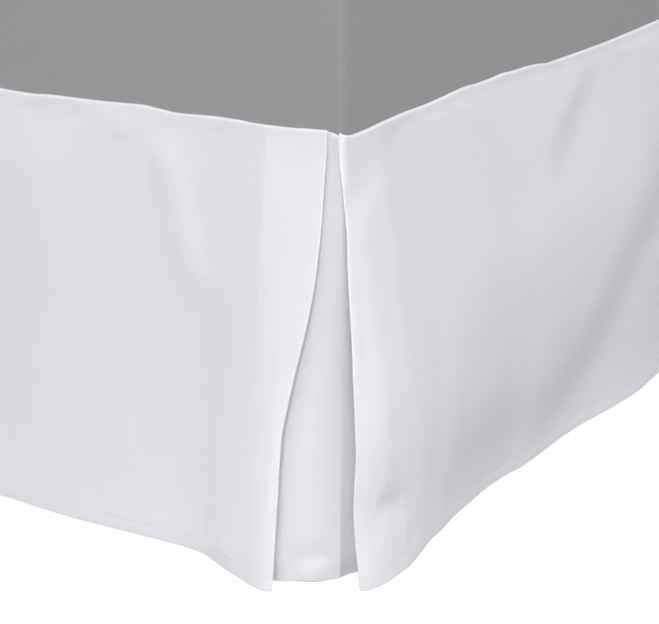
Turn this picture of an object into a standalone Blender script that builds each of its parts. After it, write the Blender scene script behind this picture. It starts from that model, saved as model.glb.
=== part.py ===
"""Tailored bed skirt on a plain queen-size mattress and box spring.

The skirt is a flat deck, which lies between mattress and box spring, and three
drops that hang from its edges: one over the foot end and one down each side.
Each foot corner has an inverted pleat. There the foot drop and the side drop
fold back on themselves, and an underlay stands behind the two folds. The folds
meet at the top and stand open at the hem.

Frame: metres, +Z up, the floor at z = 0. X is the bed's width, and the head
end is at +Y. Tables and helper functions work in millimetres.
"""

import math
from typing import NamedTuple

import bmesh
import bpy
import numpy as np

MM = 0.001

# Driving dimensions, millimetres
BED_WIDTH = 1524.0
BED_LENGTH = 2032.0
MATTRESS_HEIGHT = 254.0
LEG_HEIGHT = 150.0
DROP = 381.0
HEM_HEIGHT = 3.0
CLOTH = 1.2
GAP = 0.3

# Levels
DECK_TOP = HEM_HEIGHT + DROP
DECK_BOTTOM = DECK_TOP - CLOTH
BOX_SPRING_TOP = DECK_BOTTOM - GAP
BOX_SPRING_BOTTOM = LEG_HEIGHT + GAP
MATTRESS_BOTTOM = DECK_TOP + GAP

# Distances out from the skirt line, the outline of the bed seen from above
FACE_OUT = 1.0
PLY_STEP = 1.8
UNDERLAY_OUT = -2.8
DECK_OUT = FACE_OUT - CLOTH / 2 - GAP
DECK_NOTCH_OUT = UNDERLAY_OUT - CLOTH / 2 - 0.4
BOX_SPRING_OUT = -10.0
MATTRESS_OUT = -2.0

# The foot drop flares further than the rest, so the bed sits back by half of that
FOOT_FLARE = 50.0
FOOT_Y = -BED_LENGTH / 2 + FOOT_FLARE / 2
HALF_WIDTH = BED_WIDTH / 2

# Heights of the cloth's rows: close together where the pleats start to open
ROW_HEIGHTS = (384, 372, 361, 345, 315, 280, 240, 200, 160, 120, 80, 40, 3)
CLOSED_BAND = 370.0

# The foot drop's fold edge hangs upright to a height, and turns back below it
TURN_START = 300.0
TURN_DEPTH = 200.0

# The side drops hang straighter at the top than the foot drop, by this power
SIDE_HANG = 1.25

# Pleat layers, as shares of the way from a fold edge to the inner fold
PLY_SHARES = (0, 0.06, 0.12, 0.17, 0.22, 0.27, 0.36, 0.5, 0.65, 0.82, 1)
FOLD_RADIUS = PLY_STEP / 2
FOLD_REACH = FOLD_RADIUS + CLOTH / 2
PLY_BELLY = 3.0

# The side drops turn round the corner at the top only
CORNER_RADIUS = 7.0
CORNER_CENTRE = CORNER_RADIUS - FACE_OUT
CORNER_ARC = CORNER_RADIUS * math.pi / 2
CORNER_FREE = 348.0

COLOURS = {
    "skirt_cloth": (0.84, 0.83, 0.85, 1.0),
    "mattress_cloth": (0.32, 0.32, 0.33, 1.0),
    "box_spring_cloth": (0.42, 0.42, 0.43, 1.0),
    "leg_wood": (0.09, 0.065, 0.05, 1.0),
}
ROUGHNESS = {
    "skirt_cloth": 0.85,
    "mattress_cloth": 0.9,
    "box_spring_cloth": 0.9,
    "leg_wood": 0.5,
}


class Pleat(NamedTuple):
    """One corner's inverted pleat, with distances from the corner."""

    meeting: float  # on the foot side, where both fold edges meet at the top
    foot_edge: float  # the foot drop's fold edge at the hem
    side_edge: float  # the side drop's fold edge at the hem, past the corner
    foot_inner: float  # the foot drop's inner fold
    side_inner: float  # the side drop's inner fold


RIGHT_PLEAT = Pleat(14.5, 40.0, 8.5, 72.0, 57.0)
LEFT_PLEAT = Pleat(11.0, 30.0, 4.0, 66.0, 60.0)

# How far the hem stands out from the skirt line: (distance from the foot's right
# corner, hem out), through the flap, its flank and the long shallow folds
FOOT_HEM = (
    (0, 46),
    (30, 46),
    (40, 46.5),
    (48, 49),
    (58, 46),
    (72, 40),
    (97, 29.5),
    (111, 22.5),
    (126, 14),
    (138, 10),
    (160, 7),
    (200, 6.5),
    (245, 5.5),
    (300, 3),
    (350, -1),
    (430, 5),
    (510, -1),
    (610, 10),
    (700, 1),
    (790, 6),
    (880, -2),
    (980, 8),
    (1080, 0),
    (1170, 7),
    (1250, -1),
    (1320, 1),
    (1370, 4),
    (1400, 11),
    (1430, 22),
    (1460, 33),
    (1480, 38),
    (1494, 35),
    (1524, 36),
)

# The same for the side drops: (distance from their foot corner, hem out)
RIGHT_HEM = (
    (-20, 18),
    (-8, 22),
    (0, 28),
    (17, 31),
    (46, 30.5),
    (66, 28),
    (93, 21.5),
    (117, 16),
    (140, 13),
    (164, 9),
    (204, 5),
    (263, 1),
    (290, 0.8),
    (312, 2.6),
    (372, 1.2),
    (452, 0.5),
    (505, 3),
    (560, 5),
    (650, -1),
    (770, 9),
    (880, 0),
    (990, 6),
    (1090, -2),
    (1220, 10),
    (1340, 0),
    (1450, 7),
    (1560, -1),
    (1690, 8),
    (1800, 0),
    (1910, 6),
    (2032, 2),
)
LEFT_HEM = (
    (-20, 14),
    (-4, 18),
    (16, 27),
    (46, 31),
    (82, 23),
    (120, 12),
    (170, 3),
    (240, -2),
    (340, 7),
    (430, 0),
    (540, 9),
    (660, -1),
    (760, 5),
    (860, -2),
    (980, 10),
    (1100, 1),
    (1200, 7),
    (1310, -1),
    (1430, 6),
    (1550, 0),
    (1670, 11),
    (1790, -1),
    (1920, 7),
    (2032, 1),
)

# Rise of the top edge over the deck, which the mattress presses uneven:
# (distance from the right or foot corner, rise)
FOOT_TOP = (
    (90, 0.0),
    (110, 0.9),
    (149, -1.7),
    (190, 1.5),
    (250, -0.7),
    (330, -1.5),
    (450, 1.8),
    (600, -1.2),
    (760, 1.4),
    (900, -1.0),
    (1060, 2.0),
    (1200, -1.4),
    (1330, 1.2),
    (1440, 0.0),
)
SIDE_TOP = (
    (90, -1.0),
    (129, 0.7),
    (195, 3.7),
    (264, 3.4),
    (337, 0.4),
    (414, -0.9),
    (512, -1.4),
    (700, 1.6),
    (880, -1.0),
    (1080, 2.4),
    (1270, -1.3),
    (1480, 1.8),
    (1700, -1.2),
    (1900, 1.5),
    (2032, 0.0),
)
TOP_RISE_DEPTH = 60.0

# Columns of the long runs between the pleats, distances from the corner
FOOT_RUN = tuple(range(86, 206, 24)) + tuple(range(225, 1320, 52)) + tuple(range(1340, 1446, 21))
SIDE_RUN = tuple(range(72, 200, 21)) + tuple(range(225, 560, 47)) + tuple(range(600, 2000, 68)) + (2032,)

# The right underlay from above, from the foot drop's inner fold round the corner
# to the side drop's: (x, y) from the corner at the top, then at the hem
UNDERLAY_ROWS = (
    (-72, 2.8, -72, -37.2),
    (-62, 2.8, -62, -33),
    (-52, 2.8, -52, -29.5),
    (-42, 2.8, -42, -25.5),
    (-32, 2.8, -32.5, -20.8),
    (-22, 2.8, -23, -16),
    (-13, 2.8, -14.5, -11),
    (-6, 2.8, -8, -3.5),
    (-3.74, 3.74, -4.2, 2.2),
    (-2.8, 6, -3.2, 5.5),
    (-2.8, 12, -0.5, 11),
    (-2.8, 20, 4.5, 19),
    (-2.8, 29, 9.5, 28.5),
    (-2.8, 38, 15, 38),
    (-2.8, 48, 21, 48),
    (-2.8, 57, 26.5, 57),
)
# How much of that flare each underlay has, on the foot side and on the long side
RIGHT_FLARE = (1.0, 1.0)
LEFT_FLARE = (0.8, 0.96)


def smoothstep(value):
    """0 to 1 with level ends, for a value that runs from 0 to 1."""
    t = np.clip(value, 0.0, 1.0)
    return t * t * (3 - 2 * t)


def curve_through(rows, at):
    """A smooth curve through (place, value) rows that never overshoots a row."""
    place, value = np.array(rows, float).T
    width = np.diff(place)
    slope = np.diff(value) / width
    before, after = slope[:-1], slope[1:]
    one_way = before * after > 0
    total = np.where(one_way, before + after, 1.0)
    tangent = np.zeros_like(value)
    tangent[1:-1] = np.where(one_way, 2 * before * after / total, 0.0)
    at = np.clip(at, place[0], place[-1])
    i = np.clip(np.searchsorted(place, at) - 1, 0, len(width) - 1)
    t = (at - place[i]) / width[i]
    rise = (3 - 2 * t) * t * t
    return (
        value[i] * (1 - rise)
        + value[i + 1] * rise
        + width[i] * t * (1 - t) * ((1 - t) * tangent[i] - t * tangent[i + 1])
    )


def opening(height):
    """How far open the cloth hangs at a height: 0 in the closed band, 1 at the hem."""
    return np.clip((CLOSED_BAND - height) / (CLOSED_BAND - HEM_HEIGHT), 0.0, 1.0)


def foot_edge(pleat, height):
    """Where the foot drop's fold starts: upright at first, then turned back."""
    closed = pleat.meeting + GAP + FOLD_REACH
    turned = pleat.foot_edge + FOLD_REACH
    return closed + (turned - closed) * smoothstep((TURN_START - height) / TURN_DEPTH)


def side_edge(pleat, height):
    """Where the side drop's fold starts, negative past the corner."""
    closed = CORNER_CENTRE - CORNER_ARC - (pleat.meeting - FOLD_REACH - CORNER_CENTRE)
    hanging = FOLD_REACH - 4.0 - (pleat.side_edge - 4.0) * opening(height)
    return closed + (hanging - closed) * smoothstep((CLOSED_BAND - height) / 18)


def edge_columns(edge, inner):
    """Distances of a pleat's columns, from its fold edge to its inner fold."""
    return edge + (inner - edge) * np.array(PLY_SHARES)


def face_path(along, hem_rows, share):
    """(distance, out) points of a drop's face where it has a share of its hem's flare."""
    out = FACE_OUT + share * curve_through(hem_rows, along)
    return np.stack([along, out], axis=1)


def turned_at_corner(path, height):
    """A side drop's path, bent round the corner in the closed band and free below it."""
    turn = math.pi / 2 * float(smoothstep((height - CORNER_FREE) / (CLOSED_BAND - CORNER_FREE)))
    if turn < 0.01:
        return path
    radius = CORNER_ARC / turn
    past = np.maximum(CORNER_CENTRE - path[:, 0], 0.0)
    on_arc = np.minimum(past, CORNER_ARC) / radius
    after_arc = np.maximum(past - CORNER_ARC, 0.0)
    bent = path.copy()
    bent[:, 0] += past - radius * np.sin(on_arc) - after_arc * math.cos(turn)
    bent[:, 1] -= radius * (1 - np.cos(on_arc)) + after_arc * math.sin(turn)
    return bent


def inward_normals(path):
    """Unit normals of a path, to the bed's side of it."""
    tangent = np.gradient(path, axis=0)
    tangent /= np.linalg.norm(tangent, axis=1)[:, None]
    return np.stack([tangent[:, 1], -tangent[:, 0]], axis=1), tangent


def folded_ply(path, height):
    """The layer folded back behind a face's first columns, from its inner fold to the fold's tip."""
    count = len(PLY_SHARES)
    normals, tangent = inward_normals(path)
    belly = PLY_BELLY * opening(height) * np.sin(math.pi * np.array(PLY_SHARES))
    ply = path[:count] + normals[:count] * (PLY_STEP + belly)[:, None]
    centre = path[0] + normals[0] * FOLD_RADIUS
    angles = np.radians((135, 90, 45))[:, None]
    tip = centre - FOLD_RADIUS * (np.cos(angles) * normals[0] + np.sin(angles) * tangent[0])
    return np.concatenate([ply[::-1], tip])


def mirrored(path, length):
    """A path measured from the other end of its run."""
    return np.stack([length - path[::-1, 0], path[::-1, 1]], axis=1)


def side_path(pleat, hem_rows, height):
    """A side drop from above at a height: its folded ply, its face and its head end."""
    flap = edge_columns(side_edge(pleat, height), pleat.side_inner)
    path = face_path(np.concatenate([flap, SIDE_RUN]), hem_rows, opening(height) ** SIDE_HANG)
    path = turned_at_corner(path, height)
    return np.concatenate([folded_ply(path, height), path])


def foot_path(height):
    """The foot drop from above at a height, with a folded ply at both ends."""
    right = edge_columns(foot_edge(RIGHT_PLEAT, height), RIGHT_PLEAT.foot_inner)
    left = edge_columns(foot_edge(LEFT_PLEAT, height), LEFT_PLEAT.foot_inner)
    along = np.concatenate([right, FOOT_RUN, BED_WIDTH - left[::-1]])
    path = face_path(along, FOOT_HEM, opening(height))
    right_ply = folded_ply(path, height)
    left_ply = mirrored(folded_ply(mirrored(path, BED_WIDTH), height), BED_WIDTH)
    return np.concatenate([right_ply, path, left_ply])


def heights_of_row(path, height, top_rows):
    """Heights along a row: the top edge is uneven, and the rows below follow it less."""
    fade = max(0.0, 1 - (DECK_TOP - height) / TOP_RISE_DEPTH)
    return height + fade * curve_through(top_rows, path[:, 0])


def underlay_points(side, flare, pleat):
    """Rows of world points for the underlay behind one corner's folds."""
    top_x, top_y, hem_x, hem_y = np.array(UNDERLAY_ROWS, float).T
    reach_x = np.where(top_x < -15, (pleat.foot_inner / RIGHT_PLEAT.foot_inner - 1) * top_x, 0.0)
    reach_y = np.where(top_y > 15, (pleat.side_inner / RIGHT_PLEAT.side_inner - 1) * top_y, 0.0)
    rows = []
    for height in ROW_HEIGHTS:
        foot_share = flare[0] * opening(height)
        side_share = flare[1] * opening(height) ** SIDE_HANG
        x = top_x + side_share * (hem_x - top_x) + reach_x
        y = top_y + foot_share * (hem_y - top_y) + reach_y
        rows.append(np.stack([side * (HALF_WIDTH + x), FOOT_Y + y, np.full_like(x, height)], axis=1))
    return np.array(rows)


def drop_points(path_at, top_rows, to_world):
    """Rows of world points for a drop, from its path at each height."""
    rows = []
    for height in ROW_HEIGHTS:
        path = path_at(height)
        x, y = to_world(path[:, 0], path[:, 1])
        rows.append(np.stack([x, y, heights_of_row(path, height, top_rows)], axis=1))
    return np.array(rows)


def clear_scene():
    for obj in list(bpy.data.objects):
        bpy.data.objects.remove(obj, do_unlink=True)


def material(name):
    made = bpy.data.materials.new(name)
    made.use_nodes = True
    shader = made.node_tree.nodes["Principled BSDF"]
    shader.inputs["Base Color"].default_value = COLOURS[name]
    shader.inputs["Roughness"].default_value = ROUGHNESS[name]
    shader.inputs["Metallic"].default_value = 0.0
    return made


def add_object(name, mesh, finish):
    obj = bpy.data.objects.new(name, mesh)
    obj.data.materials.append(finish)
    bpy.context.scene.collection.objects.link(obj)
    return obj


def cloth_sheet(name, points, finish):
    """A sheet of cloth through a grid of points, given its thickness."""
    rows, columns = points.shape[:2]
    first = (np.arange(rows - 1)[:, None] * columns + np.arange(columns - 1)).ravel()
    faces = np.stack([first, first + columns, first + columns + 1, first + 1], axis=1)
    mesh = bpy.data.meshes.new(name)
    mesh.from_pydata((points.reshape(-1, 3) * MM).tolist(), [], faces.tolist())
    mesh.shade_smooth()
    sheet = add_object(name, mesh, finish)
    thickness = sheet.modifiers.new("thickness", "SOLIDIFY")
    thickness.thickness = CLOTH * MM
    thickness.offset = 0.0
    thickness.use_even_offset = True
    return sheet


def padded_box(name, out, low, high, corner_radius, edge_radius, finish):
    """A box over the bed's outline, its upright corners and its long edges rounded."""
    size = (BED_WIDTH + 2 * out, BED_LENGTH + 2 * out, high - low)
    centre = (0.0, FOOT_Y + BED_LENGTH / 2, (low + high) / 2)
    shape = bmesh.new()
    bmesh.ops.create_cube(shape, size=1.0)
    bmesh.ops.scale(shape, vec=[side * MM for side in size], verts=shape.verts)
    upright = [e for e in shape.edges if abs(e.verts[0].co.z - e.verts[1].co.z) > MM]
    bevel(shape, upright, corner_radius, 4)
    level = [e for e in shape.edges if abs(e.verts[0].co.z - e.verts[1].co.z) < MM]
    bevel(shape, level, edge_radius, 3)
    bmesh.ops.translate(shape, vec=[place * MM for place in centre], verts=shape.verts)
    mesh = bpy.data.meshes.new(name)
    shape.to_mesh(mesh)
    shape.free()
    return add_object(name, mesh, finish)


def bevel(shape, edges, radius, segments):
    bmesh.ops.bevel(
        shape, geom=edges, offset=radius * MM, segments=segments, profile=0.5, affect="EDGES"
    )


def deck_outline():
    """The deck from above. Its edge steps in where the pleats' layers pass it."""
    side_x = HALF_WIDTH + DECK_OUT
    notch_x = HALF_WIDTH + DECK_NOTCH_OUT
    foot_y = FOOT_Y - DECK_OUT
    notch_y = FOOT_Y - DECK_NOTCH_OUT
    head_y = FOOT_Y + BED_LENGTH
    notch_margin = 3.0
    chamfer = 4.0

    def corner(side, pleat):
        step_x = HALF_WIDTH - pleat.foot_inner - notch_margin
        step_y = FOOT_Y + pleat.side_inner + notch_margin
        return [
            (side * step_x, foot_y),
            (side * step_x, notch_y),
            (side * (notch_x - chamfer), notch_y),
            (side * notch_x, notch_y + chamfer),
            (side * notch_x, step_y),
            (side * side_x, step_y),
        ]

    left = corner(-1, LEFT_PLEAT)[::-1]
    return left + corner(1, RIGHT_PLEAT) + [(side_x, head_y), (-side_x, head_y)]


def deck(finish):
    shape = bmesh.new()
    lower = [shape.verts.new((x * MM, y * MM, DECK_BOTTOM * MM)) for x, y in deck_outline()]
    shape.faces.new(lower)
    raised = bmesh.ops.extrude_face_region(shape, geom=shape.faces[:])
    upper = [v for v in raised["geom"] if isinstance(v, bmesh.types.BMVert)]
    bmesh.ops.translate(shape, vec=(0, 0, CLOTH * MM), verts=upper)
    bmesh.ops.recalc_face_normals(shape, faces=shape.faces[:])
    mesh = bpy.data.meshes.new("deck")
    shape.to_mesh(mesh)
    shape.free()
    return add_object("deck", mesh, finish)


def legs(finish):
    """Six tapered legs: a pair at the foot, in the middle and at the head."""
    shape = bmesh.new()
    bmesh.ops.create_cone(
        shape,
        cap_ends=True,
        segments=32,
        radius1=20 * MM,
        radius2=27 * MM,
        depth=LEG_HEIGHT * MM,
    )
    mesh = bpy.data.meshes.new("leg")
    shape.to_mesh(mesh)
    shape.free()
    inset = 82.0
    rows = {
        "foot": FOOT_Y + inset + 15,
        "middle": FOOT_Y + BED_LENGTH / 2,
        "head": FOOT_Y + BED_LENGTH - inset - 15,
    }
    for row, y in rows.items():
        for side_name, side in (("left", -1), ("right", 1)):
            leg = bpy.data.objects.new(f"leg_{row}_{side_name}", mesh)
            x = side * (HALF_WIDTH - inset)
            leg.location = (x * MM, y * MM, LEG_HEIGHT / 2 * MM)
            bpy.context.scene.collection.objects.link(leg)
    mesh.materials.append(finish)


def drops(finish):
    cloth_sheet(
        "foot_drop",
        drop_points(foot_path, FOOT_TOP, lambda along, out: (HALF_WIDTH - along, FOOT_Y - out)),
        finish,
    )
    for name, side, pleat, hem_rows in (
        ("right_drop", 1, RIGHT_PLEAT, RIGHT_HEM),
        ("left_drop", -1, LEFT_PLEAT, LEFT_HEM),
    ):
        points = drop_points(
            lambda height, pleat=pleat, hem_rows=hem_rows: side_path(pleat, hem_rows, height),
            SIDE_TOP,
            lambda along, out, side=side: (side * (HALF_WIDTH + out), FOOT_Y + along),
        )
        cloth_sheet(name, points, finish)


def underlays(finish):
    cloth_sheet("underlay_right", underlay_points(1, RIGHT_FLARE, RIGHT_PLEAT), finish)
    cloth_sheet("underlay_left", underlay_points(-1, LEFT_FLARE, LEFT_PLEAT), finish)


def main():
    clear_scene()
    skirt_cloth = material("skirt_cloth")
    padded_box(
        "mattress",
        MATTRESS_OUT,
        MATTRESS_BOTTOM,
        MATTRESS_BOTTOM + MATTRESS_HEIGHT,
        6.0,
        4.0,
        material("mattress_cloth"),
    )
    padded_box(
        "box_spring",
        BOX_SPRING_OUT,
        BOX_SPRING_BOTTOM,
        BOX_SPRING_TOP,
        10.0,
        4.0,
        material("box_spring_cloth"),
    )
    legs(material("leg_wood"))
    deck(skirt_cloth)
    drops(skirt_cloth)
    underlays(skirt_cloth)


main()
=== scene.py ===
"""Looks of a tailored bed skirt on a plain queen-size mattress and box spring.

The skirt is sewn from thin white plain-weave cloth. Each drop is one sheet: its
face, the layer that folds back behind it at a pleat, its turned hem and the roll
at its top edge are a single surface. An underlay stands behind each foot corner's
pair of folds. The bed below is wrapped in plain grey cloth and stands on wood legs.

Frame: metres, +Z up, the floor at z = 0. X is the bed's width, and the head end is
at +Y. Tables and shape functions work in millimetres. A place on a drop is given as
(along, out): the distance from its foot corner and the distance out from the bed's
outline, both seen from above.
"""

from __future__ import annotations

import logging
import math
from dataclasses import dataclass
from enum import Enum

import bpy
import numpy as np
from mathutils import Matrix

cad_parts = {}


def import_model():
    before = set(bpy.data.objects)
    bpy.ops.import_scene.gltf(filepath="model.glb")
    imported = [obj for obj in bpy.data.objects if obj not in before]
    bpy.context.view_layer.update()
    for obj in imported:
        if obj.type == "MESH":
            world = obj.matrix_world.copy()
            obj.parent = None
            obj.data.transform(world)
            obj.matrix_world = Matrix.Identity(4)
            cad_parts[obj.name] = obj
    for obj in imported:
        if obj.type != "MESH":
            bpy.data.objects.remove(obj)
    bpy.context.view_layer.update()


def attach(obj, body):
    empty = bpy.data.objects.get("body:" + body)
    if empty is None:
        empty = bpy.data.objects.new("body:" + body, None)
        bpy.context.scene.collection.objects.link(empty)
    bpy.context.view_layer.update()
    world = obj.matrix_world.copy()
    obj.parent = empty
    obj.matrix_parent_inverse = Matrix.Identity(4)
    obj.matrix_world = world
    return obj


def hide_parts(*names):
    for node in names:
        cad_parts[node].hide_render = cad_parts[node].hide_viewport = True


LOG = logging.getLogger("bed_skirt")
MM = 0.001
ROOT = "root"
CLOTH_MAP = "cloth_map"


class Side(Enum):
    """The two long sides of the bed, by the sign of their X."""

    RIGHT = 1
    LEFT = -1


class Held(Enum):
    """How a sheet of cloth is held."""

    HUNG = "hung"
    LAID = "laid"


@dataclass(frozen=True)
class BedSizes:
    """Outline and levels of the bed, in millimetres."""

    width: float = 1524.0
    length: float = 2032.0
    foot_y: float = -991.0
    leg_height: float = 150.0
    box_spring_low: float = 150.3
    box_spring_high: float = 382.5
    box_spring_out: float = -10.0
    mattress_low: float = 384.3
    mattress_high: float = 638.3
    mattress_out: float = -2.0

    @property
    def half_width(self) -> float:
        """Half of the bed's width."""
        return self.width / 2

    @property
    def middle_y(self) -> float:
        """Y of the bed's middle."""
        return self.foot_y + self.length / 2


@dataclass(frozen=True)
class ClothSizes:
    """How the skirt's cloth is cut, folded and sewn, in millimetres."""

    # The cloth itself, and the levels and place of a drop's face
    thickness: float = 0.36
    top: float = 384.0
    closed_band: float = 372.0
    hem_height: float = 3.0
    face_out: float = 1.0
    seam_allowance: float = 10.0
    # The turned hem: its depth, the step between its layers, how far its stitching
    # lies below its fold, how far it stands proud and how soon, and how far and how
    # widely the stitching draws it in
    hem_depth: float = 12.5
    layer: float = 0.6
    stitch_below: float = 1.5
    hem_proud: float = 0.3
    proud_edge: float = 2.0
    drawn_in: float = 0.35
    drawn_width: float = 0.8
    # The step from a face to the layer folded back behind it: where both are sewn
    # in, where they hang, and where both have a hem, with the depths of the changes.
    # The belly is how much further in the middle of that layer hangs.
    sewn_step: float = 0.44
    hanging_step: float = 1.15
    hemmed_step: float = 3.3
    sewn_depth: float = 24.0
    hemmed_below: float = 34.0
    hemmed_change: float = 18.0
    belly: float = 3.0
    # The roll at the top edge, and the turn round a foot corner
    roll: float = 1.3
    roll_run: float = 2.7
    roll_lift: float = 0.5
    corner_radius: float = 5.0
    corner_free: float = 332.0
    # How much lower a folded end hangs, how far that reaches, and how high
    tip_sag: float = 2.2
    tip_reach: float = 26.0
    tip_height: float = 150.0
    # How deep the uneven top edge and the wrinkles take to fade
    rise_depth: float = 60.0
    wrinkle_depth: float = 16.0
    # How the bed's layers follow the uneven top edge: the blend of two sides at a
    # corner, the fade at the head, the level part in from the outline and its fade
    seam_blend: float = 8.0
    seam_head: float = 40.0
    seam_level: float = 2.5
    seam_fade: float = 7.0

    @property
    def corner_centre(self) -> float:
        """Distance in from the outline to the centre of the turn round a corner."""
        return self.corner_radius - self.face_out

    @property
    def corner_arc(self) -> float:
        """Length of cloth in the turn round a corner."""
        return self.corner_radius * math.pi / 2

    @property
    def hem_top(self) -> float:
        """Height of the hem's upper fold."""
        return self.hem_height + self.hem_depth

    @property
    def stitch_height(self) -> float:
        """Height of the hem's line of stitches."""
        return self.hem_top - self.stitch_below

    @property
    def cut_height(self) -> float:
        """Height of a drop's cut cloth, with its turned hem and its seam allowance."""
        return self.top - self.hem_height + 2 * self.hem_depth + self.seam_allowance


BED = BedSizes()
CLOTH = ClothSizes()
# The columns of a pleat's layer on the foot drop and on a side drop, the power by
# which they crowd towards the folded edge, the angles of that edge's half turn in
# degrees, and the angle past which an edge of a mesh is sharp
PLEAT_COLUMNS = 20
SIDE_PLEAT_COLUMNS = 26
PLEAT_CROWDING = 1.25
FOLD_ANGLES = np.arange(22.5, 180.0, 22.5)
SHARP_TURN = 50.0


@dataclass(frozen=True)
class Pleat:
    """One corner's inverted pleat, as distances from the corner in millimetres.

    The inner places are those of the inner folds. A fold line gives the place of a
    flap's folded edge at heights from the hem up. Its top rows lie where the flaps
    meet in the closed band.
    """

    foot_inner: float
    side_inner: float
    foot_fold: tuple[tuple[float, float], ...]
    side_fold: tuple[tuple[float, float], ...]


RIGHT_PLEAT = Pleat(
    foot_inner=72.0,
    side_inner=57.0,
    foot_fold=(
        (3, 38.6), (86, 39.4), (126, 39.8), (163, 35.0), (191, 30.0), (214, 25.4),
        (231, 22.4), (248, 19.9), (270, 17.6), (305, 15.8), (340, 15.2), (372, 14.5),
        (386, 14.5),
    ),
    side_fold=(
        (3, -9.4), (18, -9.4), (42, -10.4), (82, -10.8), (122, -10.0), (157, -10.4),
        (184, -9.9), (206, -8.2), (240, -6.6), (271, -5.3), (300, -3.5), (320, -2.2),
        (345, -2.4), (372, -3.4), (386, -3.4),
    ),
)  # fmt: skip
LEFT_PLEAT = Pleat(
    foot_inner=66.0,
    side_inner=60.0,
    foot_fold=(
        (3, 30.0), (90, 31.0), (150, 25.5), (200, 18.0), (250, 13.0), (300, 11.6),
        (372, 11.0), (386, 11.0),
    ),
    side_fold=(
        (3, -6.5), (70, -7.0), (140, -3.4), (300, -3.0), (361, -4.4), (366, -5.4),
        (370, -7.0), (375.5, -10.0), (386, -10.0),
    ),
)  # fmt: skip

# How far the foot drop's hem stands out: (distance from the right corner, out)
FOOT_HEM = (
    (0, 47), (30, 48), (40, 48.6), (48, 50), (58, 48.5), (72, 43.8), (97, 33.2),
    (111, 26), (126, 18), (138, 14), (160, 10.8), (200, 10.3), (245, 8), (300, 4),
    (350, 1), (430, 5), (510, -1), (610, 10), (700, 1), (790, 6), (880, -2),
    (980, 8), (1080, 0), (1170, 7), (1250, -1), (1320, 1), (1370, 4), (1400, 11),
    (1430, 22), (1460, 33), (1480, 38), (1494, 35), (1524, 36),
)  # fmt: skip

# The same for the side drops: (distance from the foot corner, out)
RIGHT_HEM = (
    (-20, 19), (-8, 23.5), (0, 29.5), (17, 33.6), (46, 33.4), (66, 30.2), (93, 23.3),
    (117, 17.4), (140, 15), (164, 10.8), (204, 7), (263, 1), (290, 0.8), (312, 2.6),
    (372, 1.2), (452, 0.5), (505, 3), (560, 5), (650, -1), (770, 9), (880, 0),
    (990, 6), (1090, -2), (1220, 10), (1340, 0), (1450, 7), (1560, -1), (1690, 8),
    (1800, 0), (1910, 6), (2032, 2),
)  # fmt: skip
LEFT_HEM = (
    (-20, 14), (-4, 18), (16, 27), (46, 31), (82, 23), (120, 12), (170, 3),
    (240, -2), (340, 7), (430, 0), (540, 9), (660, -1), (760, 5), (860, -2),
    (980, 10), (1100, 1), (1200, 7), (1310, -1), (1430, 6), (1550, 0), (1670, 11),
    (1790, -1), (1920, 7), (2032, 1),
)  # fmt: skip

# Rise of the uneven top edge: (distance from the corner, rise)
FOOT_TOP = (
    (0, -2.8), (14, 0.8), (33, 0.2), (50, -1.0), (62, -1.2), (84, -1.4), (100, -0.6),
    (122, -0.3), (140, -1.0), (160, -1.8), (184, 0.0), (197, 1.0), (216, 0.3),
    (240, -0.6), (264, -1.0), (295, -1.4), (314, -2.6), (345, -2.0), (450, 1.8),
    (600, -1.2), (760, 1.4), (900, -1.0), (1060, 2.0), (1200, -1.4), (1330, 1.2),
    (1440, -0.6), (1510, 0.0), (1524, -1.6),
)  # fmt: skip
SIDE_TOP = (
    (-14, 1.0), (-5, 0.8), (0, -0.6), (8, -2.8), (18, -3.8), (40, -3.5), (62, -2.1),
    (82, -1.3), (100, -0.7), (120, -0.8), (140, -0.5), (160, 0.4), (181, 1.6),
    (204, 2.4), (224, 1.5), (246, 1.6), (268, 2.4), (291, 1.2), (314, 0.9),
    (338, -0.6), (360, -3.0), (390, -3.2), (460, -3.4), (520, -2.4), (700, 1.6),
    (880, -1.0), (1080, 2.4), (1270, -1.3), (1480, 1.8), (1700, -1.2), (1900, 1.5),
    (2032, 0.0),
)  # fmt: skip

# The right underlay from above, from the foot drop's inner fold to the side drop's:
# (x, y) from the corner at the top, where it has opened by UNDERLAY_MID, and at the
# hem. Its crease is the ninth row, which is number 8 from 0.
UNDERLAY_ROWS = (
    (-72, 1.6, -72, -8.4, -72, -34), (-62, 1.6, -62, -9.2, -62, -32),
    (-52, 1.6, -52, -9.6, -52, -32), (-42, 1.6, -42, -9.6, -42, -29.4),
    (-32, 1.6, -32, -9.0, -32.5, -22.2), (-22, 1.6, -22.5, -7.4, -23, -14.2),
    (-14, 1.6, -14.6, -4.0, -14.8, -7.0), (-8, 1.6, -8.2, -0.4, -8.8, -1.8),
    (-3, 3, -3.2, 3.3, -3.8, 2.6), (-1.6, 5.5, -1.2, 6, -3.5, 6.0),
    (-1.6, 12, 0.8, 12, -2.0, 12.4), (-1.6, 20, 2.8, 20, 1.6, 20),
    (-1.6, 29, 4.2, 29, 8, 28.6), (-1.6, 38, 4.4, 38, 14.4, 38),
    (-1.6, 48, 4.2, 48, 21, 48), (-1.6, 57, 3.6, 57, 26.5, 57),
)  # fmt: skip
UNDERLAY_MID = 0.32
UNDERLAY_CREASE = 8


@dataclass(frozen=True)
class Crease:
    """A soft ridge, or a trough where its height is negative, along a line on a drop.

    The line runs through (distance along the drop, height) points. Drawn with the
    distance to the right and the height up, the flank to its left is as wide as far
    and the one to its right as wide as near, which is the corner's side where the
    line runs down. The crease fades at both ends over the taper.
    """

    points: tuple[tuple[float, float], ...]
    height: float
    near: float
    far: float
    taper: float = 60.0


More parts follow.
